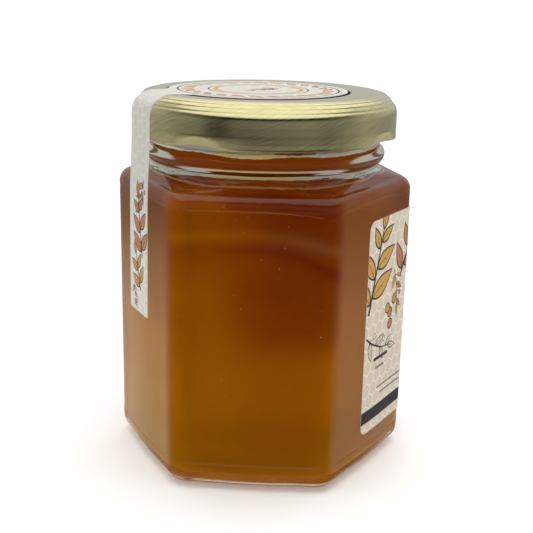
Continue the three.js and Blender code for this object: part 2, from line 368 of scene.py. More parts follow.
glass_m, nt, glass, _ = new_material("clear_glass")
glass.inputs["Base Color"].default_value = (0.985, 0.992, 0.985, 1)
glass.inputs["Roughness"].default_value = 0.0
glass.inputs["IOR"].default_value = 1.52
glass.inputs["Transmission Weight"].default_value = 1.0
geo = node(nt, "ShaderNodeTexCoord").outputs["Object"]
n1 = node(nt, "ShaderNodeTexNoise", {"Vector": geo, "Scale": 120.0, "Detail": 2.0}).outputs["Fac"]
bump = node(nt, "ShaderNodeBump", {"Height": n1, "Strength": 0.03, "Distance": 0.0004})
nt.links.new(bump.outputs[0], glass.inputs["Normal"])

# Where honey wets the wall there is nothing to see of the wall's inner side.
wet_m, nt, wet, _ = new_material("wetted_wall")
wet.inputs["Base Color"].default_value = (1, 1, 1, 1)
wet.inputs["Roughness"].default_value = 0.0
wet.inputs["IOR"].default_value = 1.0
wet.inputs["Transmission Weight"].default_value = 1.0
wet.inputs["Alpha"].default_value = 0.0

honey_m, nt, honey_s, honey_out = new_material("honey")
honey_s.inputs["Roughness"].default_value = 0.85
honey_s.inputs["IOR"].default_value = 1.1
honey_s.inputs["Transmission Weight"].default_value = 0.42
honey_s.inputs["Specular IOR Level"].default_value = 0.0
# cloudy honey with slow drifts of tone and fine specks; painted light and shade: lighter towards the bottom, where
# light from below comes in, darker and redder towards the top
hc = node(nt, "ShaderNodeTexCoord").outputs["Object"]
hz = node(nt, "ShaderNodeSeparateXYZ", {"Vector": hc})
drift = node(nt, "ShaderNodeTexNoise", {"Vector": hc, "Scale": 45.0, "Detail": 2.0, "Roughness": 0.4}).outputs["Fac"]
height = math_node(nt, "ADD", math_node(nt, "DIVIDE", hz.outputs[2], 0.08), math_node(nt, "MULTIPLY", math_node(nt, "SUBTRACT", drift, 0.5), 0.35))
amber = ramp(nt, height, [(0.0, (0.46, 0.155, 0.0020)), (0.10, HONEY_LOW), (0.45, HONEY_MID), (0.785, (0.372, 0.078, 0.0015)), (0.818, (0.295, 0.047, 0.0012)), (0.842, (0.295, 0.047, 0.0012)), (0.872, HONEY_TOP)])
speck = node(nt, "ShaderNodeTexNoise", {"Vector": hc, "Scale": 900.0, "Detail": 2.0}).outputs["Fac"]
amber = mix_colour(nt, ramp(nt, speck, [(0.70, 0.0), (0.80, 0.5)]), amber, (0.60, 0.30, 0.03))
# painted shade: the label's back darkening the honey, darker and redder, behind the upper right of the front face
hmm = math_node(nt, "MULTIPLY", hz.outputs[2], 1000.0)
soft_x = math_node(nt, "ADD", math_node(nt, "MULTIPLY", hz.outputs[0], 1000.0), math_node(nt, "MULTIPLY", math_node(nt, "SUBTRACT", drift, 0.5), 10.0))


def rise(x, a, b):
    """0 at a, 1 at b, easing between them."""
    t = math_node(nt, "DIVIDE", math_node(nt, "SUBTRACT", x, a), b - a, clamp=True)
    return math_node(nt, "MULTIPLY", math_node(nt, "MULTIPLY", t, t), math_node(nt, "SUBTRACT", 3.0, math_node(nt, "MULTIPLY", t, 2.0)))


painted_label_shade = math_node(nt, "MULTIPLY", rise(soft_x, -10.0, 8.0), rise(hmm, 28.0, 38.0))
front = rise(math_node(nt, "MULTIPLY", hz.outputs[1], 1000.0), -24.5, -27.2)
painted_label_shade = math_node(nt, "MULTIPLY", painted_label_shade, front)
amber = mix_colour(nt, painted_label_shade, amber, mix_colour(nt, 1.0, amber, (0.62, 0.42, 0.8), "MULTIPLY"))
# painted light: the left part of the honey a little lighter, where light comes through past the label
amber = mix_colour(nt, rise(soft_x, 4.0, -10.0), amber, mix_colour(nt, 1.0, amber, (1.06, 1.12, 1.0), "MULTIPLY"))
# painted light and shade, bowed up in the middle: a lighter band above a darker one, for bright and dark ground seen in
# the front face
x_mm = math_node(nt, "MULTIPLY", hz.outputs[0], 1000.0)
bow = math_node(nt, "MULTIPLY", x_mm, math_node(nt, "MAXIMUM", x_mm, math_node(nt, "MULTIPLY", x_mm, 0.3)))
bow = math_node(nt, "MINIMUM", bow, 330.0)
wander = math_node(nt, "MULTIPLY", math_node(nt, "SUBTRACT", drift, 0.5), 3.0)


def near(x, at, width):
    t = math_node(nt, "DIVIDE", math_node(nt, "SUBTRACT", x, at), width)
    return math_node(nt, "EXPONENT", math_node(nt, "MULTIPLY", math_node(nt, "MULTIPLY", t, t), -1.0))


high = math_node(nt, "ADD", math_node(nt, "ADD", hmm, wander), math_node(nt, "MULTIPLY", bow, 0.009))
low = math_node(nt, "ADD", math_node(nt, "ADD", hmm, wander), math_node(nt, "MULTIPLY", bow, 0.018))
bright = math_node(nt, "MULTIPLY", near(high, 58.4, 1.4), front)
amber = mix_colour(nt, bright, amber, mix_colour(nt, 1.0, amber, (1.20, 1.55, 2.0), "MULTIPLY"))
# painted reflection: a grey sheen over the right part of the light band
amber = mix_colour(nt, math_node(nt, "MULTIPLY", math_node(nt, "MULTIPLY", bright, rise(x_mm, 0.0, 15.0)), 0.06), amber, (0.62, 0.44, 0.30))
dim = math_node(nt, "MULTIPLY", math_node(nt, "MULTIPLY", near(low, 55.7, 1.5), front), math_node(nt, "ADD", 0.35, math_node(nt, "MULTIPLY", rise(x_mm, -12.0, 2.0), 0.65)))
amber = mix_colour(nt, dim, amber, mix_colour(nt, 1.0, amber, (0.76, 0.50, 0.8), "MULTIPLY"))
# painted highlight and painted shade of the line pressed into the face: a fine light streak under its upper edge, with
# a dark one just above
line_light_x = math_node(nt, "SUBTRACT", 1.0, rise(math_node(nt, "ABSOLUTE", x_mm), 13.5, 15.0))
line_light_on = math_node(nt, "MULTIPLY", line_light_x, front)
amber = mix_colour(nt, math_node(nt, "MULTIPLY", math_node(nt, "MULTIPLY", near(math_node(nt, "ADD", hmm, math_node(nt, "MULTIPLY", bow, 0.004)), 63.8, 0.10), line_light_on), 0.40), amber, (0.62, 0.28, 0.04))
amber = mix_colour(nt, math_node(nt, "MULTIPLY", math_node(nt, "MULTIPLY", near(hmm, 64.1, 0.22), line_light_on), 0.35), amber, (0.16, 0.03, 0.001))
# painted light: a lighter patch half-way up the left of the front face
glimmer = math_node(nt, "MULTIPLY", near(hmm, 45.0, 5.0), rise(soft_x, 2.0, -8.0))
amber = mix_colour(nt, math_node(nt, "MULTIPLY", glimmer, front), amber, mix_colour(nt, 1.0, amber, (1.12, 1.30, 1.0), "MULTIPLY"))
# painted shade: the left front corner a little darker half-way up
corner = math_node(nt, "MULTIPLY", near(x_mm, -16.6, 1.8), math_node(nt, "MULTIPLY", near(hmm, 42.0, 13.0), front))
amber = mix_colour(nt, math_node(nt, "MULTIPLY", corner, 0.9), amber, mix_colour(nt, 1.0, amber, (0.80, 0.80, 0.8), "MULTIPLY"))
# painted light and painted reflection: the faces at the two sides lighter and yellower than the front, changing with
# height
at_z = math_node(nt, "DIVIDE", hz.outputs[2], 0.08)
left_face_light = ramp(nt, at_z, [(0.0, (0.60, 0.80, 0.5)), (0.30, (0.60, 0.82, 0.5)), (0.42, (0.61, 0.84, 0.5)), (0.50, (0.52, 0.68, 0.5)), (0.66, (0.42, 0.62, 0.5)), (0.78, (0.36, 0.50, 0.5))])
right_face_light = ramp(nt, at_z, [(0.0, (0.55, 0.64, 0.5)), (0.22, (0.50, 0.58, 0.5)), (0.34, (0.52, 0.62, 0.5)), (0.46, (0.53, 0.66, 0.5)), (0.66, (0.50, 0.62, 0.5)), (0.78, (0.50, 0.72, 0.5))])
for sign, starts, full, face_light in ((-1.0, 16.9, 19.2, left_face_light), (1.0, 15.8, 17.0, right_face_light)):
    reach = rise(math_node(nt, "MULTIPLY", x_mm, sign), starts, full)
    if sign < 0:
        reach = math_node(nt, "MULTIPLY", reach, rise(math_node(nt, "MULTIPLY", hz.outputs[1], 1000.0), 5.0, -4.0))
    face_lit = mix_colour(nt, 1.0, mix_colour(nt, 1.0, amber, face_light, "MULTIPLY"), (2.0, 2.0, 2.0), "MULTIPLY")
    amber = mix_colour(nt, reach, amber, face_lit)
# a few tiny bubbles against the wall
cell = node(nt, "ShaderNodeTexVoronoi", {"Vector": hc, "Scale": 300.0})
dot = ramp(nt, cell.outputs["Distance"], [(0.035, 1.0), (0.055, 0.0)])
amber = mix_colour(nt, math_node(nt, "MULTIPLY", dot, 0.8), amber, (0.80, 0.46, 0.10))
# painted light and painted reflections in uneven pale bands round the neck: whitish where the glass catches light,
# yellow where it shows the gold lid
rim = node(nt, "ShaderNodeCombineXYZ", {"X": hz.outputs[0], "Y": hz.outputs[1], "Z": math_node(nt, "MULTIPLY", hz.outputs[2], 2.2)}).outputs[0]
wave = node(nt, "ShaderNodeTexNoise", {"Vector": rim, "Scale": 75.0, "Detail": 1.0}).outputs["Fac"]
rag = node(nt, "ShaderNodeTexNoise", {"Vector": rim, "Scale": 420.0, "Detail": 4.0, "Roughness": 0.65}).outputs["Fac"]
swell = node(nt, "ShaderNodeTexNoise", {"Vector": rim, "Scale": 50.0, "Detail": 0.0}).outputs["Fac"]
ragged = math_node(nt, "SUBTRACT", rag, 0.5)
za = math_node(nt, "ADD", hmm, math_node(nt, "MULTIPLY", ragged, 1.3))
round01 = math_node(nt, "DIVIDE", math_node(nt, "ADD", math_node(nt, "MULTIPLY", math_node(nt, "ARCTAN2", hz.outputs[0],
                    math_node(nt, "MULTIPLY", hz.outputs[1], -1.0)), 1 / DEG), 180.0), 360.0)


def edge_at(stops):
    """Height in millimetres against the angle from the front."""
    r = ramp(nt, round01, [((a + 180) / 360, (z - 70.0) / 10.0) for a, z in stops])
    return math_node(nt, "ADD", math_node(nt, "MULTIPLY", r, 10.0), 70.0)


low_edge = edge_at([(-180, 74.2), (-150, 73.7), (-120, 74.5), (-90, 73.8), (-60, 73.7), (-45, 74.0), (-30, 74.5), (-20, 74.1), (-14, 73.55), (2, 73.5),
                    (10, 74.25), (26, 74.2), (34, 73.6), (57, 73.4), (75, 73.7), (100, 73.8), (140, 74.6), (165, 73.9)])
top_edge = edge_at([(-180, 75.6), (-150, 76.4), (-120, 75.3), (-90, 76.8), (-60, 77.0), (-45, 76.6), (-22, 75.7), (-14, 75.55), (6, 75.45), (12, 74.85),
                    (28, 74.9), (34, 76.0), (45, 76.7), (60, 77.5), (90, 76.8), (130, 75.5), (160, 76.3)])
zd = math_node(nt, "ADD", hmm, math_node(nt, "MULTIPLY", ragged, 0.9))
upper = math_node(nt, "MULTIPLY", rise(math_node(nt, "SUBTRACT", za, low_edge), -0.1, 0.1), rise(math_node(nt, "SUBTRACT", top_edge, za), -0.12, 0.12))
upper = math_node(nt, "MULTIPLY", upper, ramp(nt, swell, [(0.30, 0.6), (0.44, 1.0)]))
foot = math_node(nt, "ADD", math_node(nt, "MULTIPLY", ramp(nt, round01, [((a + 180) / 360, (z - 60.0) / 20.0) for a, z in (
    (-180, 69.3), (-130, 69.8), (-90, 68.3), (-50, 68.5), (-36, 69.3), (-28, 69.75), (34, 69.75), (44, 69.2), (54, 68.4), (90, 68.2), (130, 69.7))]), 20.0), 60.0)
lower = math_node(nt, "MULTIPLY", rise(math_node(nt, "SUBTRACT", zd, foot), 0.0, 0.25), math_node(nt, "SUBTRACT", 1.0, rise(hmm, 71.55, 71.72)))
# painted highlights: a bright line along the bead's lower edge and a fainter thin one lower down
line = math_node(nt, "MULTIPLY", rise(hmm, 71.93, 71.98), math_node(nt, "SUBTRACT", 1.0, rise(hmm, 72.10, 72.20)))
thin = math_node(nt, "MULTIPLY", rise(zd, 67.7, 67.95), math_node(nt, "SUBTRACT", 1.0, rise(zd, 68.05, 68.35)))
pale = math_node(nt, "MAXIMUM", math_node(nt, "MAXIMUM", upper, lower), math_node(nt, "MAXIMUM", math_node(nt, "MULTIPLY", line, 0.85), math_node(nt, "MULTIPLY", thin, 0.35)))
# painted shade: a dark line just under the bright one
dark = math_node(nt, "MULTIPLY", rise(hmm, 71.70, 71.78), math_node(nt, "SUBTRACT", 1.0, rise(hmm, 71.90, 71.95)))
amber = mix_colour(nt, math_node(nt, "MULTIPLY", dark, 0.8), amber, (0.10, 0.035, 0.004))
gold_reflected = ramp(nt, round01, [((a + 180) / 360, c) for a, c in ((-180, 0.3), (-110, 0.7), (-70, 0.0), (-28, 0.0), (-16, 1.0), (14, 1.0), (30, 0.1), (80, 0.0), (130, 0.8), (170, 0.3))])
neck_glint = mix_colour(nt, gold_reflected, (0.93, 0.92, 0.87), (0.98, 0.80, 0.36))
amber = mix_colour(nt, pale, amber, neck_glint)
nt.links.new(amber, honey_s.inputs["Base Color"])
nt.links.new(math_node(nt, "MULTIPLY", math_node(nt, "SUBTRACT", 1.0, pale), 0.42), honey_s.inputs["Transmission Weight"])
volume = node(nt, "ShaderNodeVolumeAbsorption")
volume.inputs["Color"].default_value = (0.90, 0.82, 0.40, 1)
volume.inputs["Density"].default_value = 20.0
nt.links.new(volume.outputs[0], honey_out.inputs["Volume"])

out_rows = outside_rows()
in_rows = inside_rows(0, RIM_Z - 0.9)
# the bore gets a row just at the level of the honey, where the wetted part starts
level_rows = [r for r in in_rows if r[3] > HONEY_Z + 0.3 and r[0] <= NECK_BORE] + \
    [[NECK_BORE, NECK_BORE, 0, HONEY_Z, 0]] + [r for r in in_rows if not (r[3] > HONEY_Z - 0.3 and r[0] <= NECK_BORE)]
outer = dress_outside(rings_from(out_rows))
inner = dress_inside(rings_from(level_rows))


def dry_amount(theta, z):
    """Above 0 where honey stands off the wall: an uneven film near the level, and pockets under the neck."""
    x, y = math.cos(theta) * 24, math.sin(theta) * 24
    ragged = smooth_noise((x, y, z * 1.5), 3.2, 40.0) * 0.5 + smooth_noise((x, y, z * 3), 1.1, 50.0) * 0.25
    level = 75.15 + 0.9 * smooth_noise((x, y, 0), 11.0, 33.0)
    top = (z - level) * 1.2 + ragged
    low = 0.9 - abs(z - 69.3 - 0.4 * smooth_noise((x, y, 5), 9.0, 71.0)) * 1.3 + ragged + 0.5 * smooth_noise((x, y, 9), 7.0, 61.0) - 0.25
    return max(min(top, (78.2 - z) * 2), low if 67.6 < z < 70.8 else -1)


wet_from = len(out_rows) + [i for i, r in enumerate(level_rows) if abs(r[3] - HONEY_Z) < 1e-6][0]
co, faces = lofted(np.concatenate([outer, inner]), (0, 0, PUNT), (0, 0, FLOOR_Z + PUNT))
idx = []
inside_z = np.concatenate([outer, inner])[:, :, 2]
for q in faces[: (len(out_rows) + len(level_rows) - 1) * NCOL]:
    row, col = q[0] // NCOL, q[0] % NCOL
    wetted = row >= wet_from
    if wetted and inside_z[row, col] > 67 and dry_amount(COLS[col], inside_z[row, col]) > 0:
        wetted = False
    idx.append(1 if wetted else 0)
idx += [0] * NCOL + [1] * NCOL
glass_ob = make_piece("glass_jar_clear", co, faces, [glass_m, wet_m], "glass_jar", idx)

hr = inside_rows(-0.15, HONEY_Z)
honey_rings = dress_inside(rings_from(hr))[::-1]
for i in range(honey_rings.shape[0]):
    for j in range(NCOL):
        x, y, z = honey_rings[i, j]
        rr = math.hypot(x, y)
        if z > 67 and rr > 10:
            k = min(max(dry_amount(COLS[j], z) * 2.5 + 0.5, 0), 1)
            honey_rings[i, j, 0] -= x / rr * 0.65 * k
            honey_rings[i, j, 1] -= y / rr * 0.65 * k
tops = np.stack([honey_rings[-1] * [k, k, 1] + [0, 0, 0] for k in (0.97, 0.6, 0.2)])
co, faces = lofted(np.concatenate([honey_rings, tops]), (0, 0, FLOOR_Z - 0.15 + PUNT), (0, 0, HONEY_Z))
honey_ob = make_piece("honey_fill", co, faces, [honey_m], "honey")

# ------------------------------------------------------------------ lid
gold_m, nt, gold, _ = new_material("gold_lacquer")
tc = node(nt, "ShaderNodeTexCoord").outputs["Object"]
gold.inputs["IOR"].default_value = 1.5
gold.inputs["Coat IOR"].default_value = 1.5
# brushing that runs slantwise round the skirt: a coordinate along the brushing, one across it
sep = node(nt, "ShaderNodeSeparateXYZ", {"Vector": tc})
ang = math_node(nt, "ARCTAN2", sep.outputs[1], sep.outputs[0])
arc = math_node(nt, "MULTIPLY", ang, 0.0302)
along = math_node(nt, "ADD", math_node(nt, "MULTIPLY", arc, 0.94), math_node(nt, "MULTIPLY", sep.outputs[2], 0.34))
across = math_node(nt, "SUBTRACT", math_node(nt, "MULTIPLY", sep.outputs[2], 0.94), math_node(nt, "MULTIPLY", arc, 0.34))
brush = node(nt, "ShaderNodeCombineXYZ", {"X": math_node(nt, "MULTIPLY", along, 180.0), "Y": math_node(nt, "MULTIPLY", across, 3000.0)})
streak = node(nt, "ShaderNodeTexNoise", {"Vector": brush.outputs[0], "Scale": 1.0, "Detail": 3.0, "Roughness": 0.6}).outputs["Fac"]
flat = node(nt, "ShaderNodeMapping", {"Vector": tc, "Rotation": (0, 0, 0.5), "Scale": (220.0, 3400.0, 220.0)})
streak_top = node(nt, "ShaderNodeTexNoise", {"Vector": flat.outputs[0], "Scale": 1.0, "Detail": 3.0, "Roughness": 0.6}).outputs["Fac"]
nrm = node(nt, "ShaderNodeNewGeometry").outputs["Normal"]
up_z = node(nt, "ShaderNodeSeparateXYZ", {"Vector": nrm}).outputs[2]
on_top = ramp(nt, up_z, [(0.55, 0.0), (0.8, 1.0)])
grain = mix_colour(nt, on_top, streak, streak_top)
cloud = node(nt, "ShaderNodeTexNoise", {"Vector": tc, "Scale": 160.0, "Detail": 3.0}).outputs["Fac"]
tone = mix_colour(nt, ramp(nt, grain, [(0.35, 0.0), (0.65, 1.0)]), (0.72, 0.645, 0.33), (0.94, 0.865, 0.475))
tone = mix_colour(nt, ramp(nt, cloud, [(0.3, 0.0), (0.7, 0.35)]), tone, (0.82, 0.73, 0.38))
# painted shadow: a thin dark ring on the lid just outside the paper disc's edge, with the shine taken away there
off_x = math_node(nt, "SUBTRACT", sep.outputs[0], SEAL_DISC_AT * 0.001 * math.cos(SEAL_DIR * DEG))
off_y = math_node(nt, "SUBTRACT", sep.outputs[1], SEAL_DISC_AT * 0.001 * math.sin(SEAL_DIR * DEG))
off_r = math_node(nt, "SQRT", math_node(nt, "ADD", math_node(nt, "MULTIPLY", off_x, off_x), math_node(nt, "MULTIPLY", off_y, off_y)))
disc_shadow_ring = ramp(nt, math_node(nt, "MULTIPLY", off_r, 20.0), [(0.405, 1.0), (0.424, 1.0), (0.432, 0.0)])
disc_edge_shadow = math_node(nt, "MULTIPLY", disc_shadow_ring, on_top)
tone = mix_colour(nt, disc_edge_shadow, tone, (0.035, 0.020, 0.008))
# the four pressed lugs are rougher and less metallic than the rest, painted darker as shade in the hollows, and catch
# the light from below
from_lug = math_node(nt, "SUBTRACT", math_node(nt, "FLOORED_MODULO", math_node(nt, "ADD", math_node(nt, "MULTIPLY", ang, 1 / DEG), 70.0), 90.0), 45.0)
lug_rough_and_shade = math_node(nt, "MULTIPLY", near(from_lug, 0.0, 16.5), ramp(nt, math_node(nt, "MULTIPLY", sep.outputs[2], 10.0), [(0.780, 1.0), (0.794, 0.0)]))
tone = mix_colour(nt, math_node(nt, "MULTIPLY", lug_rough_and_shade, 0.72), tone, (0.47, 0.44, 0.215))
nt.links.new(tone, gold.inputs["Base Color"])
shiny = math_node(nt, "SUBTRACT", 1.0, disc_edge_shadow)
nt.links.new(math_node(nt, "MULTIPLY", shiny, math_node(nt, "SUBTRACT", 1.0, math_node(nt, "MULTIPLY", lug_rough_and_shade, 0.45))), gold.inputs["Metallic"])
nt.links.new(math_node(nt, "MULTIPLY", shiny, 0.4), gold.inputs["Coat Weight"])
nt.links.new(math_node(nt, "ADD", 0.08, math_node(nt, "MULTIPLY", lug_rough_and_shade, 0.3)), gold.inputs["Coat Roughness"])
nt.links.new(math_node(nt, "MULTIPLY", shiny, 0.5), gold.inputs["Specular IOR Level"])
rough = ramp(nt, grain, [(0.3, 0.13), (0.7, 0.20)])
rough = math_node(nt, "ADD", rough, math_node(nt, "MULTIPLY", lug_rough_and_shade, 0.28))
nt.links.new(rough, gold.inputs["Roughness"])
b = node(nt, "ShaderNodeBump", {"Height": grain, "Strength": 0.22, "Distance": 0.00003})
nt.links.new(b.outputs[0], gold.inputs["Normal"])

tin_m, nt, tin, _ = new_material("lid_inside")
tcn = node(nt, "ShaderNodeTexCoord").outputs["Object"]
tn = node(nt, "ShaderNodeTexNoise", {"Vector": tcn, "Scale": 300.0}).outputs["Fac"]
nt.links.new(ramp(nt, tn, [(0.3, (0.62, 0.58, 0.46)), (0.7, (0.70, 0.66, 0.54))]), tin.inputs["Base Color"])
tin.inputs["Roughness"].default_value = 0.4
tin.inputs["Metallic"].default_value = 0.6


def lid_piece():
    n = 432
    ang = np.arange(n) * 2 * math.pi / n

    def lug_at(share):
        """How far the four lugs press in; each narrows upwards."""
        lug = np.zeros(n)
        for l in LUGS:
            x = ang / DEG - l
            x = np.abs(x - 360 * np.round(x / 360)) / (LUG_HALF * (0.75 + 0.35 * share))
            lug = np.maximum(lug, np.where(x < 1, np.cos(np.minimum(x, 1) * math.pi / 2) ** 2, 0))
        return lug

    # radius, height: from the rolled lower edge up the skirt, over the rim and the stepped ring to the panel
    skirt = [(29.55, 76.95), (29.5, 76.6), (29.68, 76.4), (30.0, 76.38), (30.24, 76.6), (30.3, 76.95), (30.27, 77.35),
             (30.24, 77.7), (30.24, 78.1), (30.24, 78.5), (30.24, 78.9), (30.245, 79.3), (30.25, 79.7), (30.25, 80.1),
             (30.25, 80.5), (30.25, 80.9), (30.25, 81.5), (30.22, 82.2), (30.13, 82.8), (29.96, 83.3),
             (29.72, 83.72), (29.44, 84.02)]
    # three low steps up to the panel
    step = [(29.34, 84.16), (29.255, 84.31), (29.10, 84.51), (28.84, 84.79), (28.71, 84.93), (28.635, 85.06), (28.46, 85.27), (28.1, 85.53),
            (27.93, 85.655), (27.855, 85.78), (27.68, 85.92), (27.3, 86.05), (26.9, 86.15), (26.5, 86.25), (26.2, 86.29), (25.7, 86.3),
            (25.3, 86.26), (24.9, 86.25)]
    prof = hermite(skirt + step, 3)
    prof = np.vstack([prof, [[22, 86.25], [16, 86.24], [8, 86.24], [2, 86.24]]])
    rings = np.zeros((len(prof), n, 3))
    for i, (r, z) in enumerate(prof):
        k = min(max((79.45 - z) / 2.9, 0), 1)
        share = k * k * (2.2 - 1.2 * k) if i > 5 else 1.0
        lug = lug_at(share)
        rr = r - LUG_DEPTH * lug * share
        zz = z + lug * share * 0.35 * min(max((78.2 - z) / 1.5, 0), 1)
        wob = np.array([0.03 * smooth_noise((r * math.cos(a), r * math.sin(a), z), 9.0, 5.0) for a in ang]) if r > 24 else 0.0
        rings[i, :, 0], rings[i, :, 1], rings[i, :, 2] = (rr + wob) * np.cos(ang), (rr + wob) * np.sin(ang), zz
    back = []
    for r, z in [(29.3, 77.2), (29.5, 78.0), (29.68, 79.6), (29.66, 82.6), (29.3, 83.7), (28.5, 84.4), (27.0, 84.75),
                 (26.2, 85.2), (25.6, 85.6), (15, 85.62), (2, 85.62)]:
        k = min(max((79.45 - z) / 2.9, 0), 1)
        share = k * k * (2.2 - 1.2 * k)
        rr = r - LUG_DEPTH * lug_at(share) * share
        back.append(np.stack([rr * np.cos(ang), rr * np.sin(ang), np.full(n, z)], -1))
    inner_side = np.array(back)[::-1]
    rings = np.concatenate([inner_side, rings])
    m = rings.shape[0]
    co = [tuple(p) for p in rings.reshape(-1, 3)]
    faces, mats = [], []
    for i in range(m - 1):
        for j in range(n):
            k = (j + 1) % n
            faces.append((i * n + j, i * n + k, (i + 1) * n + k, (i + 1) * n + j))
            mats.append(1 if i < len(back) - 1 else 0)
    c = len(co)
    co += [(0, 0, 85.62), (0, 0, 86.24)]
    for j in range(n):
        faces.append((c, (j + 1) % n, j))
        mats.append(1)
        faces.append((c + 1, (m - 1) * n + j, (m - 1) * n + (j + 1) % n))
        mats.append(0)
    return make_piece("lid_gold", co, faces, [gold_m, tin_m], "lid", mats)


lid_ob = lid_piece()


# ------------------------------------------------------------------ paper
def hex_lines(nt, uv, side, width, edge=0.25):
    """1 on the lines of a honeycomb with upright points, 0 in the cells; uv in millimetres."""
    w, h = side * math.sqrt(3), side * 3
    best = None
    sep = node(nt, "ShaderNodeSeparateXYZ", {"Vector": uv})
    for ox, oy in ((0, 0), (w / 2, h / 2)):
        x = math_node(nt, "SUBTRACT", math_node(nt, "FLOORED_MODULO", math_node(nt, "ADD", sep.outputs[0], ox), w), w / 2)
        y = math_node(nt, "SUBTRACT", math_node(nt, "FLOORED_MODULO", math_node(nt, "ADD", sep.outputs[1], oy), h), h / 2)
        x, y = math_node(nt, "ABSOLUTE", x), math_node(nt, "ABSOLUTE", y)
        slant = math_node(nt, "ADD", math_node(nt, "MULTIPLY", x, 0.5), math_node(nt, "MULTIPLY", y, math.sqrt(3) / 2))
        d = math_node(nt, "MAXIMUM", x, slant)
        best = d if best is None else math_node(nt, "MINIMUM", best, d)
    inner = w / 2 - width / 2
    return math_node(nt, "DIVIDE", math_node(nt, "SUBTRACT", best, inner - edge * width), edge * width * 2, clamp=True)


def paper_material(name, ground, line=None, side=1.9, width=0.34, strength=1.0, painted_shade_by_height=None):
    m, nt, p, _ = new_material(name)
    uv = node(nt, "ShaderNodeUVMap", uv_map="sheet").outputs[0]
    fine = node(nt, "ShaderNodeTexNoise", {"Vector": uv, "Scale": 9.0, "Detail": 4.0, "Roughness": 0.65}).outputs["Fac"]
    soft = node(nt, "ShaderNodeTexNoise", {"Vector": uv, "Scale": 0.25, "Detail": 2.0}).outputs["Fac"]
    base = ground
    if line is not None:
        mask = math_node(nt, "MULTIPLY", hex_lines(nt, uv, side, width), strength)
        base = mix_colour(nt, mask, ground, line)
    shade = ramp(nt, fine, [(0.3, 0.93), (0.7, 1.04)])
    base = mix_colour(nt, 1.0, base, shade, "MULTIPLY")
    base = mix_colour(nt, 1.0, base, ramp(nt, soft, [(0.3, 0.965), (0.7, 1.0)]), "MULTIPLY")
    # painted shade: the paper darkened by height
    if painted_shade_by_height is not None:
        z = node(nt, "ShaderNodeSeparateXYZ", {"Vector": node(nt, "ShaderNodeTexCoord").outputs["Object"]}).outputs[2]
        base = mix_colour(nt, 1.0, base, ramp(nt, math_node(nt, "DIVIDE", z, 0.1), [(h / 100, c) for h, c in painted_shade_by_height]), "MULTIPLY")
    nt.links.new(base, p.inputs["Base Color"])
    p.inputs["Roughness"].default_value = 0.62
    p.inputs["Specular IOR Level"].default_value = 0.3
    p.inputs["Sheen Weight"].default_value = 0.08
    b = node(nt, "ShaderNodeBump", {"Height": fine, "Strength": 0.18, "Distance": 0.00005})
    nt.links.new(b.outputs[0], p.inputs["Normal"])
    return m


CHARCOAL, OCHRE, TERRA = lin(36, 35, 39), lin(205, 153, 66), lin(192, 118, 72)
# painted shade on the seal: greyer from the shoulder up the lid's skirt, where the strip is shaded
seal_paper = paper_material("seal_paper", lin(219, 215, 206), lin(236, 234, 228), strength=0.8,
                            painted_shade_by_height=[(36, (0.96, 0.95, 0.94)), (50, (0.92, 0.92, 0.91)), (68, (0.79, 0.81, 0.80)), (83, (0.77, 0.79, 0.78)), (85.6, 0.88), (86.3, 0.89)])
label_paper = paper_material("label_paper", lin(212, 199, 180), lin(232, 224, 210))
ink_dark = paper_material("ink_charcoal", CHARCOAL)
ink_ochre = paper_material("ink_ochre", OCHRE)
ink_terra = paper_material("ink_terracotta", TERRA)
ink_pale = paper_material("ink_pale", lin(226, 216, 199))
ink_grey = paper_material("ink_grey", lin(120, 112, 102))
paper_back = paper_material("paper_back", lin(214, 206, 192))
INKS = {"paper": 0, "dark": 1, "ochre": 2, "terra": 3, "pale": 4, "grey": 5, "back": 6}


def leaf(x, y, ang, length, width, n=16):
    """Outline of a leaf from its stalk end, pointing along ang in degrees."""
    pts = []
    for k in range(n):
        t = k / (n - 1)
        pts.append((t * length, 0.5 * width * math.sin(math.pi * t ** 0.8) * (1 - 0.15 * t)))
    for k in range(n - 2, 0, -1):
        t = k / (n - 1)
        pts.append((t * length, -0.5 * width * math.sin(math.pi * t ** 0.8) * (1 - 0.15 * t)))
    c, s = math.cos(ang * DEG), math.sin(ang * DEG)
    return [(x + c * a - s * b, y + s * a + c * b) for a, b in pts]


def disc(x, y, r, n=18):
    return [(x + r * math.cos(2 * math.pi * k / n), y + r * math.sin(2 * math.pi * k / n)) for k in range(n)]


def stroke(points, w0, w1=None):
    """A line as a thin outline that narrows from w0 to w1."""
    w1 = w0 if w1 is None else w1
    p = np.array(points, float)
    d = np.gradient(p, axis=0)
    d /= np.linalg.norm(d, axis=1)[:, None] + 1e-9
    nrm = np.stack([-d[:, 1], d[:, 0]], -1)
    w = np.linspace(w0, w1, len(p))[:, None] / 2
    return [tuple(q) for q in np.vstack([p + nrm * w, (p - nrm * w)[::-1]])]


def curve(p0, p1, p2, n=12):
    p0, p1, p2 = map(np.array, (p0, p1, p2))
    return [tuple((1 - t) ** 2 * p0 + 2 * t * (1 - t) * p1 + t * t * p2) for t in np.linspace(0, 1, n)]


def outlined_leaf(shapes, x, y, ang, length, width, ink, line=0.28, vein=True):
    shapes.append((leaf(x, y, ang, length, width), "dark"))
    shapes.append((leaf(x + line * math.cos(ang * DEG), y + line * math.sin(ang * DEG), ang, length - 2.2 * line, width - 1.7 * line), ink))
    if vein:
        c, s = math.cos(ang * DEG), math.sin(ang * DEG)
        shapes.append((stroke([(x + c * length * t, y + s * length * t) for t in (0.06, 0.25, 0.45, 0.66)], 0.24, 0.08), "dark"))
        for t, side in ((0.24, 1), (0.4, -1)):
            bx, by = x + c * length * t, y + s * length * t
            a2 = (ang + side * 32) * DEG
            shapes.append((stroke([(bx, by), (bx + math.cos(a2) * width * 0.24, by + math.sin(a2) * width * 0.24)], 0.16, 0.06), "dark"))


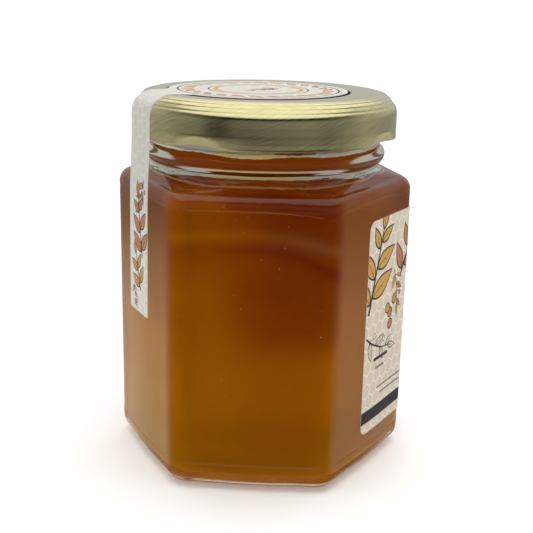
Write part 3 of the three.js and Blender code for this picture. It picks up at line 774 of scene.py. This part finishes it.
def sprig(shapes, x, y, ang, length, leaves, size, inks, bend=0.2, berries=True, weight=0.3, line=0.2):
    """A stalk with leaves on both sides and a few berries."""
    c, s = math.cos(ang * DEG), math.sin(ang * DEG)
    end = (x + c * length, y + s * length)
    mid = (x + c * length / 2 - s * length * bend, y + s * length / 2 + c * length * bend)
    stalk = curve((x, y), mid, end, 20)
    shapes.append((stroke(stalk, weight, weight * 0.5), "dark"))
    for k in range(leaves):
        t = (k + 0.7) / leaves
        i = min(int(t * 19), 18)
        px, py = stalk[i]
        tx, ty = stalk[i + 1][0] - px, stalk[i + 1][1] - py
        a = math.degrees(math.atan2(ty, tx))
        side = 1 if k % 2 else -1
        outlined_leaf(shapes, px, py, a + side * (48 - 8 * t), size * (1 - 0.35 * t), size * 0.42 * (1 - 0.3 * t), inks[k % len(inks)], line=line)
        if berries and k % 2 == 0:
            a2 = (a - side * 52) * DEG
            bx, by = px + math.cos(a2) * size * 0.45, py + math.sin(a2) * size * 0.45
            shapes.append((stroke([(px, py), (bx, by)], 0.18), "dark"))
            shapes.append((disc(bx, by, size * 0.13), "dark"))
            shapes.append((disc(bx, by, size * 0.13 - 0.15), inks[(k + 1) % len(inks)]))
    outlined_leaf(shapes, end[0], end[1], ang + bend * -60, size * 0.8, size * 0.34, inks[0], line=line)


def branch(shapes, x, y, ang, length, leaves, tip, line=0.3):
    """A stalk with single leaves, each (share of the way, turn, length, width, ink)."""
    c, s_ = math.cos(ang * DEG), math.sin(ang * DEG)
    for t, turned, l, w, ink in leaves:
        outlined_leaf(shapes, x + c * length * t, y + s_ * length * t, ang + turned, l, w, ink, line=line)
    outlined_leaf(shapes, x + c * length, y + s_ * length, ang, *tip, line=line)
    shapes.append((stroke([(x + c * length * t, y + s_ * length * t) for t in np.linspace(0, 1.02, 8)], line * 1.5, line * 0.8), "dark"))


def berries(shapes, x, y, count, r, inks):
    for k in range(count):
        a = 2.4 * k
        d = r * 1.5 * math.sqrt(k)
        bx, by = x + d * math.cos(a), y + d * math.sin(a)
        shapes.append((disc(bx, by, r), "dark"))
        shapes.append((disc(bx, by, r * 0.76), inks[k % len(inks)]))
        shapes.append((disc(bx + r * 0.2, by + r * 0.2, r * 0.16, 8), "dark"))


def inside_poly(poly, px, py):
    p = np.asarray(poly)
    x0, y0 = p[:, 0], p[:, 1]
    x1, y1 = np.roll(x0, -1), np.roll(y0, -1)
    hit = np.zeros(len(px), bool)
    for a, b_, c, d in zip(x0, y0, x1, y1):
        cross = (b_ > py) != (d > py)
        if cross.any():
            xi = a + (py - b_) * (c - a) / ((d - b_) if d != b_ else 1e-12)
            hit ^= cross & (px < xi)
    return hit


def printed_sheet(name, outline, shapes, extra_lines, to_space, thickness, replaces, mats, grid=None):
    """A sheet of paper from its flat outline. shapes are drawn in order, each with its ink; to_space maps a flat point to
    a place and a normal."""
    verts, edges = [], []

    def add_loop(pts, closed=True):
        base = len(verts)
        verts.extend((float(a), float(b_)) for a, b_ in pts)
        n = len(pts)
        edges.extend((base + i, base + (i + 1) % n) for i in range(n if closed else n - 1))

    add_loop(outline)
    for poly, _ in shapes:
        add_loop(poly)
    for line in extra_lines:
        add_loop(line, closed=False)
    if grid is not None:
        verts.extend(grid)
    v2, _, f2, *_ = delaunay_2d_cdt([Vector(v) for v in verts], edges, [], 0, 1e-5)
    v2 = np.array([tuple(v) for v in v2])
    f2 = np.array([tuple(f) for f in f2 if len(f) == 3])
    cen = v2[f2].mean(1)
    keep = inside_poly(outline, cen[:, 0], cen[:, 1])
    area = np.abs(np.cross(v2[f2[:, 1]] - v2[f2[:, 0]], v2[f2[:, 2]] - v2[f2[:, 0]]))
    keep &= area > 1e-7
    f2, cen = f2[keep], cen[keep]
    ink = np.zeros(len(f2), int)
    for poly, what in shapes:
        p = np.asarray(poly)
        near = (cen[:, 0] >= p[:, 0].min()) & (cen[:, 0] <= p[:, 0].max()) & (cen[:, 1] >= p[:, 1].min()) & (cen[:, 1] <= p[:, 1].max())
        if near.any():
            sub = np.where(near)[0]
            ink[sub[inside_poly(poly, cen[sub, 0], cen[sub, 1])]] = INKS[what]
    used = np.unique(f2)
    new = -np.ones(len(v2), int)
    new[used] = np.arange(len(used))
    v2, f2 = v2[used], new[f2]
    # outward-facing triangles on the front
    sgn = np.cross(v2[f2[:, 1]] - v2[f2[:, 0]], v2[f2[:, 2]] - v2[f2[:, 0]])
    f2[sgn < 0] = f2[sgn < 0][:, ::-1]
    front, back = [], []
    for a, b_ in v2:
        p, n = to_space(a, b_)
        front.append(p + n * thickness)
        back.append(p)
    nv = len(v2)
    a0, n0 = np.array(front[f2[0][0]]), None
    tri = [np.array(front[i]) for i in f2[0]]
    _, n_here = to_space(*v2[f2[0][0]])
    flip = np.dot(np.cross(tri[1] - tri[0], tri[2] - tri[0]), n_here) < 0
    faces, mi = [], []
    count = {}
    for f, k in zip(f2, ink):
        f = tuple(f[::-1]) if flip else tuple(f)
        faces.append(f)
        mi.append(k)
        faces.append((f[2] + nv, f[1] + nv, f[0] + nv))
        mi.append(INKS["back"])
        for e in ((f[0], f[1]), (f[1], f[2]), (f[2], f[0])):
            count[e] = count.get(e, 0) + 1
    for (a, b_) in list(count):
        if (b_, a) not in count:
            faces.append((b_, a, a + nv, b_ + nv))
            mi.append(INKS["back"])
    ob = make_piece(name, front + back, faces, mats, replaces, mi)
    uvl = ob.data.uv_layers.new(name="sheet")
    flat = np.vstack([v2, v2])
    loops = np.zeros(len(ob.data.loops), np.int32)
    ob.data.loops.foreach_get("vertex_index", loops)
    uvl.data.foreach_set("uv", flat[loops].astype(np.float32).ravel())
    # the sheet's rims stay crisp
    ob.data.set_sharp_from_angle(angle=40 * DEG)
    return ob


# ------------------------------------------------------------------ label round three faces
def arc_table():
    """Length along the jar's outline against angle, from the label's left edge."""
    start = -30 * DEG + math.atan2(LABEL_START, APOTHEM + BULGE)
    end = 60 * DEG - start
    t = np.linspace(start, end, 4000)
    r = hex_radius(t, APOTHEM, CORNER_R, BULGE)
    x, y = r * np.cos(t), r * np.sin(t)
    s = np.concatenate([[0], np.cumsum(np.hypot(np.diff(x), np.diff(y)))])
    return t, s


T_TAB, S_TAB = arc_table()
LABEL_LEN = float(S_TAB[-1])


def label_space(u, v):
    t = float(np.interp(u, S_TAB, T_TAB))
    h = 1e-3
    r = hex_radius(np.array([t - h, t, t + h]), APOTHEM, CORNER_R, BULGE)
    a = np.array([r[0] * math.cos(t - h), r[0] * math.sin(t - h)])
    p = np.array([r[1] * math.cos(t), r[1] * math.sin(t)])
    b_ = np.array([r[2] * math.cos(t + h), r[2] * math.sin(t + h)])
    d = (b_ - a) / np.linalg.norm(b_ - a)
    n = np.array([d[1], -d[0], 0.0])
    lift = 0.06
    return np.array([p[0], p[1], v]) + n * lift, n


def rounded_rect(x0, y0, x1, y1, r, n=7):
    pts = []
    for cx, cy, a0 in ((x1 - r, y0 + r, -90), (x1 - r, y1 - r, 0), (x0 + r, y1 - r, 90), (x0 + r, y0 + r, 180)):
        for k in range(n):
            a = (a0 + 90 * k / (n - 1)) * DEG
            pts.append((cx + r * math.cos(a), cy + r * math.sin(a)))
    return pts


label_shapes = []
Z0, Z1 = LABEL_Z0, LABEL_Z1
label_shapes.append(([(0, 11.8), (LABEL_LEN, 11.8), (LABEL_LEN, 14.9), (0, 14.9)], "dark"))
branch(label_shapes, 1.0, 38.5, 74, 19.5, [(0.12, 60, 10.5, 4.8, "ochre"), (0.2, -48, 11.5, 5.2, "ochre"), (0.42, 52, 9.5, 4.2, "ochre"),
       (0.55, -50, 10.0, 4.6, "ochre"), (0.78, 44, 6.5, 3.2, "ochre"), (0.86, -46, 7.0, 3.2, "ochre")], tip=(7.0, 3.2, "ochre"), line=0.55)
branch(label_shapes, 17.0, 44.0, 62, 12.5, [(0.15, 55, 8.5, 3.9, "terra"), (0.25, -50, 8.5, 4.0, "terra"), (0.6, 48, 7.0, 3.2, "terra"),
       (0.68, -50, 7.5, 3.4, "terra")], tip=(6.5, 3.0, "terra"), line=0.5)
berries(label_shapes, 12.2, 36.5, 4, 1.35, ["terra", "ochre"])
sprig(label_shapes, 0.6, 33.0, -22, 12.0, 4, 5.6, ["paper", "paper"], bend=-0.15, weight=0.5, line=0.34)
label_shapes.append(([(4.6, 26.4), (12.0, 26.4), (12.0, 27.2), (4.6, 27.2)], "dark"))
label_shapes.append(([(5.6, 24.2), (10.2, 24.2), (10.2, 24.8), (5.6, 24.8)], "grey"))
sprig(label_shapes, 13.5, 46.5, -75, 9.0, 4, 4.4, ["ochre", "terra"], bend=0.12, weight=0.3)
for x, y, a, l in ((34, 58, -100, 22), (88, 55, -80, 20)):
    sprig(label_shapes, x, y, a, l, 8, 6.5, ["ochre", "terra", "paper"], bend=0.1, weight=0.35)
branch(label_shapes, LABEL_LEN - 1.2, 16.5, 105, 17.0, [(0.12, 60, 9.5, 4.4, "terra"), (0.25, -40, 8.0, 3.8, "terra"), (0.45, 52, 9.0, 4.0, "terra"),
       (0.62, -42, 6.5, 3.2, "terra"), (0.8, 46, 6.5, 3.0, "terra")], tip=(6.0, 2.8, "terra"), line=0.36)
for row, (a, b_) in enumerate(((7.0, 20.5), (8.5, 19.5))):
    y = 19.0 - row * 1.7
    label_shapes.append(([(a, y), (b_, y), (b_, y + 0.42), (a, y + 0.42)], "grey"))
# a plain panel in the middle, with an outline and bars for lines of print
cx = LABEL_LEN / 2
label_shapes.append((rounded_rect(cx - 17, 21, cx + 17, 51, 3.0), "dark"))
label_shapes.append((rounded_rect(cx - 16.4, 21.6, cx + 16.4, 50.4, 2.6), "ochre"))
label_shapes.append((rounded_rect(cx - 15.2, 22.8, cx + 15.2, 49.2, 2.0), "dark"))
label_shapes.append((rounded_rect(cx - 14.9, 23.1, cx + 14.9, 48.9, 1.8), "pale"))
sprig(label_shapes, cx - 9, 31, 8, 17.0, 8, 6.0, ["ochre", "terra"], bend=0.16, weight=0.35)
for y, w in ((44.5, 9), (41.9, 6.5), (26.4, 10)):
    label_shapes.append(([(cx - w, y), (cx + w, y), (cx + w, y + 0.6), (cx - w, y + 0.6)], "dark"))
cut = rounded_rect(0, Z0, LABEL_LEN, Z1, LABEL_CORNER)
upright = [[(s, Z0 + 0.02), (s, Z1 - 0.02)] for s in
           [float(np.interp(t * DEG, T_TAB, S_TAB)) for t in
            [60 * k + q for k in (0, 1) for q in (-6, -4.6, -3.6, -2.7, -1.8, -0.9, 0, 0.9, 1.8, 2.7, 3.6, 4.6, 6)]]
           + [float(np.interp(t * DEG, T_TAB, S_TAB)) for t in (-30, -22, -14, 14, 22, 30, 38, 46, 74, 82, 90)]]
label_mats = [label_paper, ink_dark, ink_ochre, ink_terra, ink_pale, ink_grey, paper_back]
label_ob = printed_sheet("label_wrap", cut, label_shapes, upright, label_space, 0.11, "body_label", label_mats)
label_ob.visible_transmission = False

# ------------------------------------------------------------------ seal: a disc on the lid and a strip down the left face
# path of the strip: distance from the axis and height
PATH = [
    (-20, LID_TOP_Z), (10, LID_TOP_Z), (20, LID_TOP_Z), (24.6, LID_TOP_Z + 0.02), (26.2, LID_TOP_Z - 0.02), (27.2, 85.98), (28.2, 85.55),
    (29.05, 85.0), (29.72, 84.3), (30.12, 83.45), (30.36, 82.3), (30.42, 80.5), (30.46, 77.5), (30.60, 73.0), (30.76, 69.5),
    (30.87, 67.0), (30.95, 64.5), (30.98, 60), (30.98, 45), (30.98, STRIP_END_Z),
]
pathp = hermite(PATH, 10)
PLEN = np.concatenate([[0], np.cumsum(np.hypot(*np.diff(pathp, axis=0).T))])
U_AXIS = float(np.interp(0, pathp[:, 0], PLEN))
U_END = float(PLEN[-1])
DIRV = np.array([math.cos(SEAL_DIR * DEG), math.sin(SEAL_DIR * DEG), 0.0])
ACROSS = np.array([-DIRV[1], DIRV[0], 0.0])


def seal_space(u, v):
    """u along the strip from the axis, v across it."""
    at = u + U_AXIS
    d = float(np.interp(at, PLEN, pathp[:, 0]))
    z = float(np.interp(at, PLEN, pathp[:, 1]))
    h = 0.25
    d1, z1 = float(np.interp(at + h, PLEN, pathp[:, 0])), float(np.interp(at + h, PLEN, pathp[:, 1]))
    d0, z0 = float(np.interp(at - h, PLEN, pathp[:, 0])), float(np.interp(at - h, PLEN, pathp[:, 1]))
    td, tz = d1 - d0, z1 - z0
    l = math.hypot(td, tz) + 1e-9
    td, tz = td / l, tz / l
    n = DIRV * (-tz) + np.array([0, 0, 1.0]) * td
    lift = 0.05
    skew = STRIP_SKEW * min(z - 78.0, 0)
    return DIRV * d + ACROSS * (v + skew) + np.array([0, 0, z]) + n * lift, n


strip_end = U_END - U_AXIS
join = math.acos(STRIP_HALF / SEAL_DISC_R)
seal_cut = []
for k in range(90):
    a = join + (2 * math.pi - 2 * join) * k / 89 + (math.pi / 2 - join) * 0
    seal_cut.append(a)
a0 = math.asin(STRIP_HALF / SEAL_DISC_R)
seal_outline = [(SEAL_DISC_AT + SEAL_DISC_R * math.cos(a), SEAL_DISC_R * math.sin(a)) for a in np.linspace(a0 + 0.09, 2 * math.pi - a0 - 0.09, 110)]
fil = SEAL_DISC_AT + SEAL_DISC_R
lo_v, hi_v = -STRIP_HALF + STRIP_SHIFT, STRIP_HALF + STRIP_SHIFT
seal_outline += [(fil + 0.6, lo_v - 0.35), (fil + 2.0, lo_v)] + [(u, lo_v) for u in np.linspace(fil + 4, strip_end - 0.5, 30)]
seal_outline += [(strip_end - 0.15, lo_v + 0.12), (strip_end, lo_v + 0.5), (strip_end, hi_v - 0.5), (strip_end - 0.15, hi_v - 0.12)]
seal_outline += [(u, hi_v) for u in np.linspace(strip_end - 0.5, fil + 4, 30)] + [(fil + 2.0, hi_v), (fil + 0.6, hi_v + 0.35)]
seal_shapes = []
# on the disc: a wreath of small leaves between two thin rings
dc = SEAL_DISC_AT


def ring_band(r0, r1, ink_out, ink_in, cx_):
    seal_shapes.append((disc(cx_, 0, r1, 72), ink_out))
    seal_shapes.append((disc(cx_, 0, r0, 72), ink_in))


ring_band(18.3, 18.7, "dark", "paper", dc)
for k in range(26):
    a = 360 * k / 26
    x, y = dc + 15.0 * math.cos(a * DEG), 15.0 * math.sin(a * DEG)
    outlined_leaf(seal_shapes, x, y, a + 62, 4.6, 1.9, ("ochre", "terra")[k % 2], line=0.2, vein=False)
ring_band(11.3, 11.65, "dark", "paper", dc)
ring_band(9.4, 10.4, "ochre", "paper", dc)
sprig(seal_shapes, dc - 5.5, -1.5, 20, 8.0, 6, 3.6, ["ochre", "terra"], bend=0.1, weight=0.28)
# on the strip: sprays that hang down the face
off = strip_end
sprig(seal_shapes, off - 31.5, 3.6, -30, 6.5, 4, 4.2, ["ochre", "terra"], bend=0.1, weight=0.34, line=0.3)
branch(seal_shapes, off - 13.5, 2.6, 190, 13.5, [(0.1, 44, 6.8, 3.3, "terra"), (0.14, -50, 6.2, 3.2, "terra"), (0.42, 42, 6.2, 3.0, "terra"),
       (0.48, -48, 5.8, 3.0, "terra"), (0.76, 44, 4.6, 2.3, "terra"), (0.8, -46, 4.2, 2.2, "terra")], tip=(4.6, 2.1, "terra"), line=0.38)
branch(seal_shapes, off - 5.5, 1.5, 200, 8.5, [(0.1, 46, 5.4, 2.7, "ochre"), (0.2, -48, 5.4, 2.7, "ochre"), (0.55, 44, 4.8, 2.4, "ochre"),
       (0.62, -48, 4.4, 2.3, "ochre")], tip=(3.6, 1.8, "ochre"), line=0.36)
sprig(seal_shapes, off - 6.6, -2.5, 12, 4.4, 3, 2.7, ["paper", "paper"], bend=-0.14, weight=0.36, line=0.26)
clip = np.array(seal_outline)
cross_lines = [[(u, -STRIP_HALF + STRIP_SHIFT + 0.02), (u, STRIP_HALF + STRIP_SHIFT - 0.02)] for u in np.arange(fil + 1.0, strip_end - 0.5, 0.35)
               if u < fil + 26 or int((u - fil) / 0.35) % 6 == 0]
seal_mats = [seal_paper, ink_dark, ink_ochre, ink_terra, ink_pale, ink_grey, paper_back]
seal_ob = printed_sheet("seal_paper_strip", seal_outline, seal_shapes, cross_lines, seal_space, 0.11, "seal_label", seal_mats)
seal_ob.visible_glossy = False
seal_ob.visible_transmission = False

# ------------------------------------------------------------------ floor, world and light
floor_m, nt, fl, _ = new_material("pale_floor")
fl.inputs["Roughness"].default_value = 0.75
fl.inputs["Emission Color"].default_value = (1, 1, 1, 1)
ftc = node(nt, "ShaderNodeTexCoord").outputs["Object"]
away = node(nt, "ShaderNodeVectorMath", {0: ftc}, operation="LENGTH").outputs["Value"]
nt.links.new(ramp(nt, math_node(nt, "DIVIDE", away, 4.0), [(0.10, 0.16), (0.60, 0.34)]), fl.inputs["Emission Strength"])
fn = node(nt, "ShaderNodeTexNoise", {"Vector": ftc, "Scale": 3.0, "Detail": 3.0}).outputs["Fac"]
nt.links.new(ramp(nt, fn, [(0.3, (0.90, 0.90, 0.89)), (0.7, (0.93, 0.93, 0.92))]), fl.inputs["Base Color"])
fm = bpy.data.meshes.new("floor")
fm.from_pydata([(-30, -30, 0), (30, -30, 0), (30, 30, 0), (-30, 30, 0)], [], [(0, 1, 2, 3)])
fm.materials.append(floor_m)
floor = bpy.data.objects.new("floor", fm)
bpy.context.scene.collection.objects.link(floor)
floor.visible_glossy = False
floor.visible_transmission = False

world = bpy.data.worlds.new("studio")
bpy.context.scene.world = world
world.use_nodes = True
nt = world.node_tree
nt.nodes.clear()
wout = nt.nodes.new("ShaderNodeOutputWorld")
wdir = node(nt, "ShaderNodeTexCoord").outputs["Generated"]
ws = node(nt, "ShaderNodeSeparateXYZ", {"Vector": wdir})
elev = math_node(nt, "MULTIPLY", math_node(nt, "ARCSINE", ws.outputs[2]), 1 / DEG)
e01 = math_node(nt, "DIVIDE", math_node(nt, "ADD", elev, 90.0), 180.0)
turn = math_node(nt, "MULTIPLY", math_node(nt, "ARCTAN2", ws.outputs[0], math_node(nt, "MULTIPLY", ws.outputs[1], -1.0)), 1 / DEG)
t01 = math_node(nt, "DIVIDE", math_node(nt, "ADD", turn, 180.0), 360.0)       # 0.5 straight in front, below it to the left


def at_elev(stops):
    return ramp(nt, e01, [((e + 90) / 180, c) for e, c in stops])


def at_turn(stops):
    return ramp(nt, t01, [((e + 180) / 360, c) for e, c in stops])


# what polished surfaces reflect: a dim room in front, pale ground at the sides and behind, a broad light overhead
room = at_turn([(-180, 0.30), (-115, 0.34), (-84, 0.26), (-66, 0.20), (-52, 0.17), (-44, 0.08), (-34, 0.055), (-27, 0.11), (-20, 0.145), (-8, 0.15), (15, 0.18),
                (41, 0.215), (58, 0.17), (72, 0.19), (100, 0.31), (131, 0.25), (160, 0.30)])
ground = at_turn([(-180, 0.62), (-135, 0.60), (-124, 0.52), (-112, 0.43), (-98, 0.31), (-86, 0.17), (-77, 0.08), (-66, 0.05), (-54, 0.04), (-44, 0.01), (-38, 0.0), (8, 0.01), (42, 0.01), (58, 0.05),
                  (74, 0.20), (95, 0.39), (110, 0.45), (160, 0.48)])
below = at_elev([(-34, 0.0), (-28, 1.0), (-24, 1.0), (-17.5, 0.80), (-15.2, 0.55), (-13.4, 0.22), (-11.5, 0.0)])
deep = at_turn([(-180, 0.36), (-118, 0.20), (-100, 0.30), (-84, 0.40), (-60, 0.44), (-45, 0.42), (-37, 0.26), (-28, 0.20), (30, 0.20), (50, 0.12), (80, 0.11),
                (130, 0.12), (160, 0.30)])
ground_level = mix_colour(nt, 1.0, mix_colour(nt, 1.0, ground, below, "MULTIPLY"), mix_colour(nt, 1.0, deep, at_elev([(-34, 1.0), (-28, 0.0)]), "MULTIPLY"), "ADD")
ground_level = mix_colour(nt, 1.0, ground_level, (1.22, 1.08, 0.97), "MULTIPLY")
glow = mix_colour(nt, 1.0, at_turn([(-10, 0.0), (0, 0.10), (22, 0.10), (30, 0.0)]), at_elev([(-15.3, 0.0), (-14.7, 1.0), (-14.3, 1.0), (-13.9, 0.0)]), "MULTIPLY")
ground_level = mix_colour(nt, 1.0, ground_level, glow, "ADD")
sidelong = at_turn([(-62, 1.0), (-44, 0.0), (60, 0.0), (80, 1.0)])
in_front = at_elev([(-11.3, 0.0), (-10.2, 1.0), (14, 1.0), (27, 0.35), (33, 0.03), (44, 0.0)])
beside = at_elev([(-19, 0.0), (-12.6, 0.34), (-10.3, 1.0), (14, 1.0), (27, 0.35), (33, 0.03), (44, 0.0)])
in_room = mix_colour(nt, sidelong, in_front, beside)
room_level = mix_colour(nt, 1.0, room, in_room, "MULTIPLY")
side = at_turn([(-180, 1.0), (-150, 1.0), (-115, 0.45), (-80, 0.12), (-35, 0.0), (58, 0.0), (85, 0.12), (115, 0.45), (150, 1.0)])
front_top = at_elev([(42, 0.0), (48, 0.85), (62, 1.02), (80, 1.06)])
back_top = at_elev([(-2, 0.0), (6, 0.20), (16, 0.24), (26, 0.60), (40, 1.12), (60, 1.12), (82, 1.0)])
top_level = mix_colour(nt, side, front_top, back_top)
gloss = mix_colour(nt, 1.0, mix_colour(nt, 1.0, ground_level, room_level, "ADD"), top_level, "ADD")
lp = node(nt, "ShaderNodeLightPath")
even = at_turn([(-180, 1.0), (-110, 0.98), (-50, 0.66), (50, 0.62), (110, 0.86)])
mirrored = math_node(nt, "MULTIPLY", lp.outputs["Is Glossy Ray"], lp.outputs["Is Reflection Ray"])
# light that enters the jar and is scattered by the honey, then light seen straight through the glass
lit = at_turn([(-180, 1.5), (-145, 1.7), (-120, (2.2, 2.5, 2.1)), (-90, (1.9, 2.1, 1.9)), (-70, 1.25), (-40, 1.1), (30, 1.0), (65, 1.15), (88, 1.3), (120, 1.5),
               (150, 1.5)])
through = at_turn([(-180, 1.15), (-120, 1.1), (-60, 0.8), (60, 0.75), (110, 0.95)])
scattered = math_node(nt, "GREATER_THAN", lp.outputs["Diffuse Depth"], 0.5)
inside = mix_colour(nt, scattered, through, lit)
entering = math_node(nt, "MULTIPLY", lp.outputs["Is Transmission Ray"], 1.0)
soft = mix_colour(nt, mirrored, mix_colour(nt, entering, even, inside), gloss)
sky = at_elev([(0, 1.0), (40, 1.0)])
seen = mix_colour(nt, lp.outputs["Is Camera Ray"], soft, sky)
bg = node(nt, "ShaderNodeBackground", {"Color": seen, "Strength": 1.0})
nt.links.new(bg.outputs[0], wout.inputs["Surface"])


def area_light(name, at, to, size, power, colour=(1, 1, 1), glossy=True):
    d = bpy.data.lights.new(name, "AREA")
    d.shape = "RECTANGLE"
    d.size, d.size_y = size
    d.energy = power
    d.color = colour
    o = bpy.data.objects.new(name, d)
    bpy.context.scene.collection.objects.link(o)
    o.location = at
    o.rotation_mode = "QUATERNION"
    o.rotation_quaternion = (Vector(to) - Vector(at)).to_track_quat("-Z", "Y")
    o.visible_glossy = glossy
    o.visible_transmission = False
    return o


area_light("overhead", (0.05, -0.05, 0.9), (0, 0, 0.04), (0.9, 0.7), 4.0, (1.0, 0.985, 0.95), glossy=False)

bpy.context.scene.view_settings.view_transform = "Standard"
bpy.context.scene.view_settings.look = "None"
bpy.context.scene.view_settings.exposure = 0.0
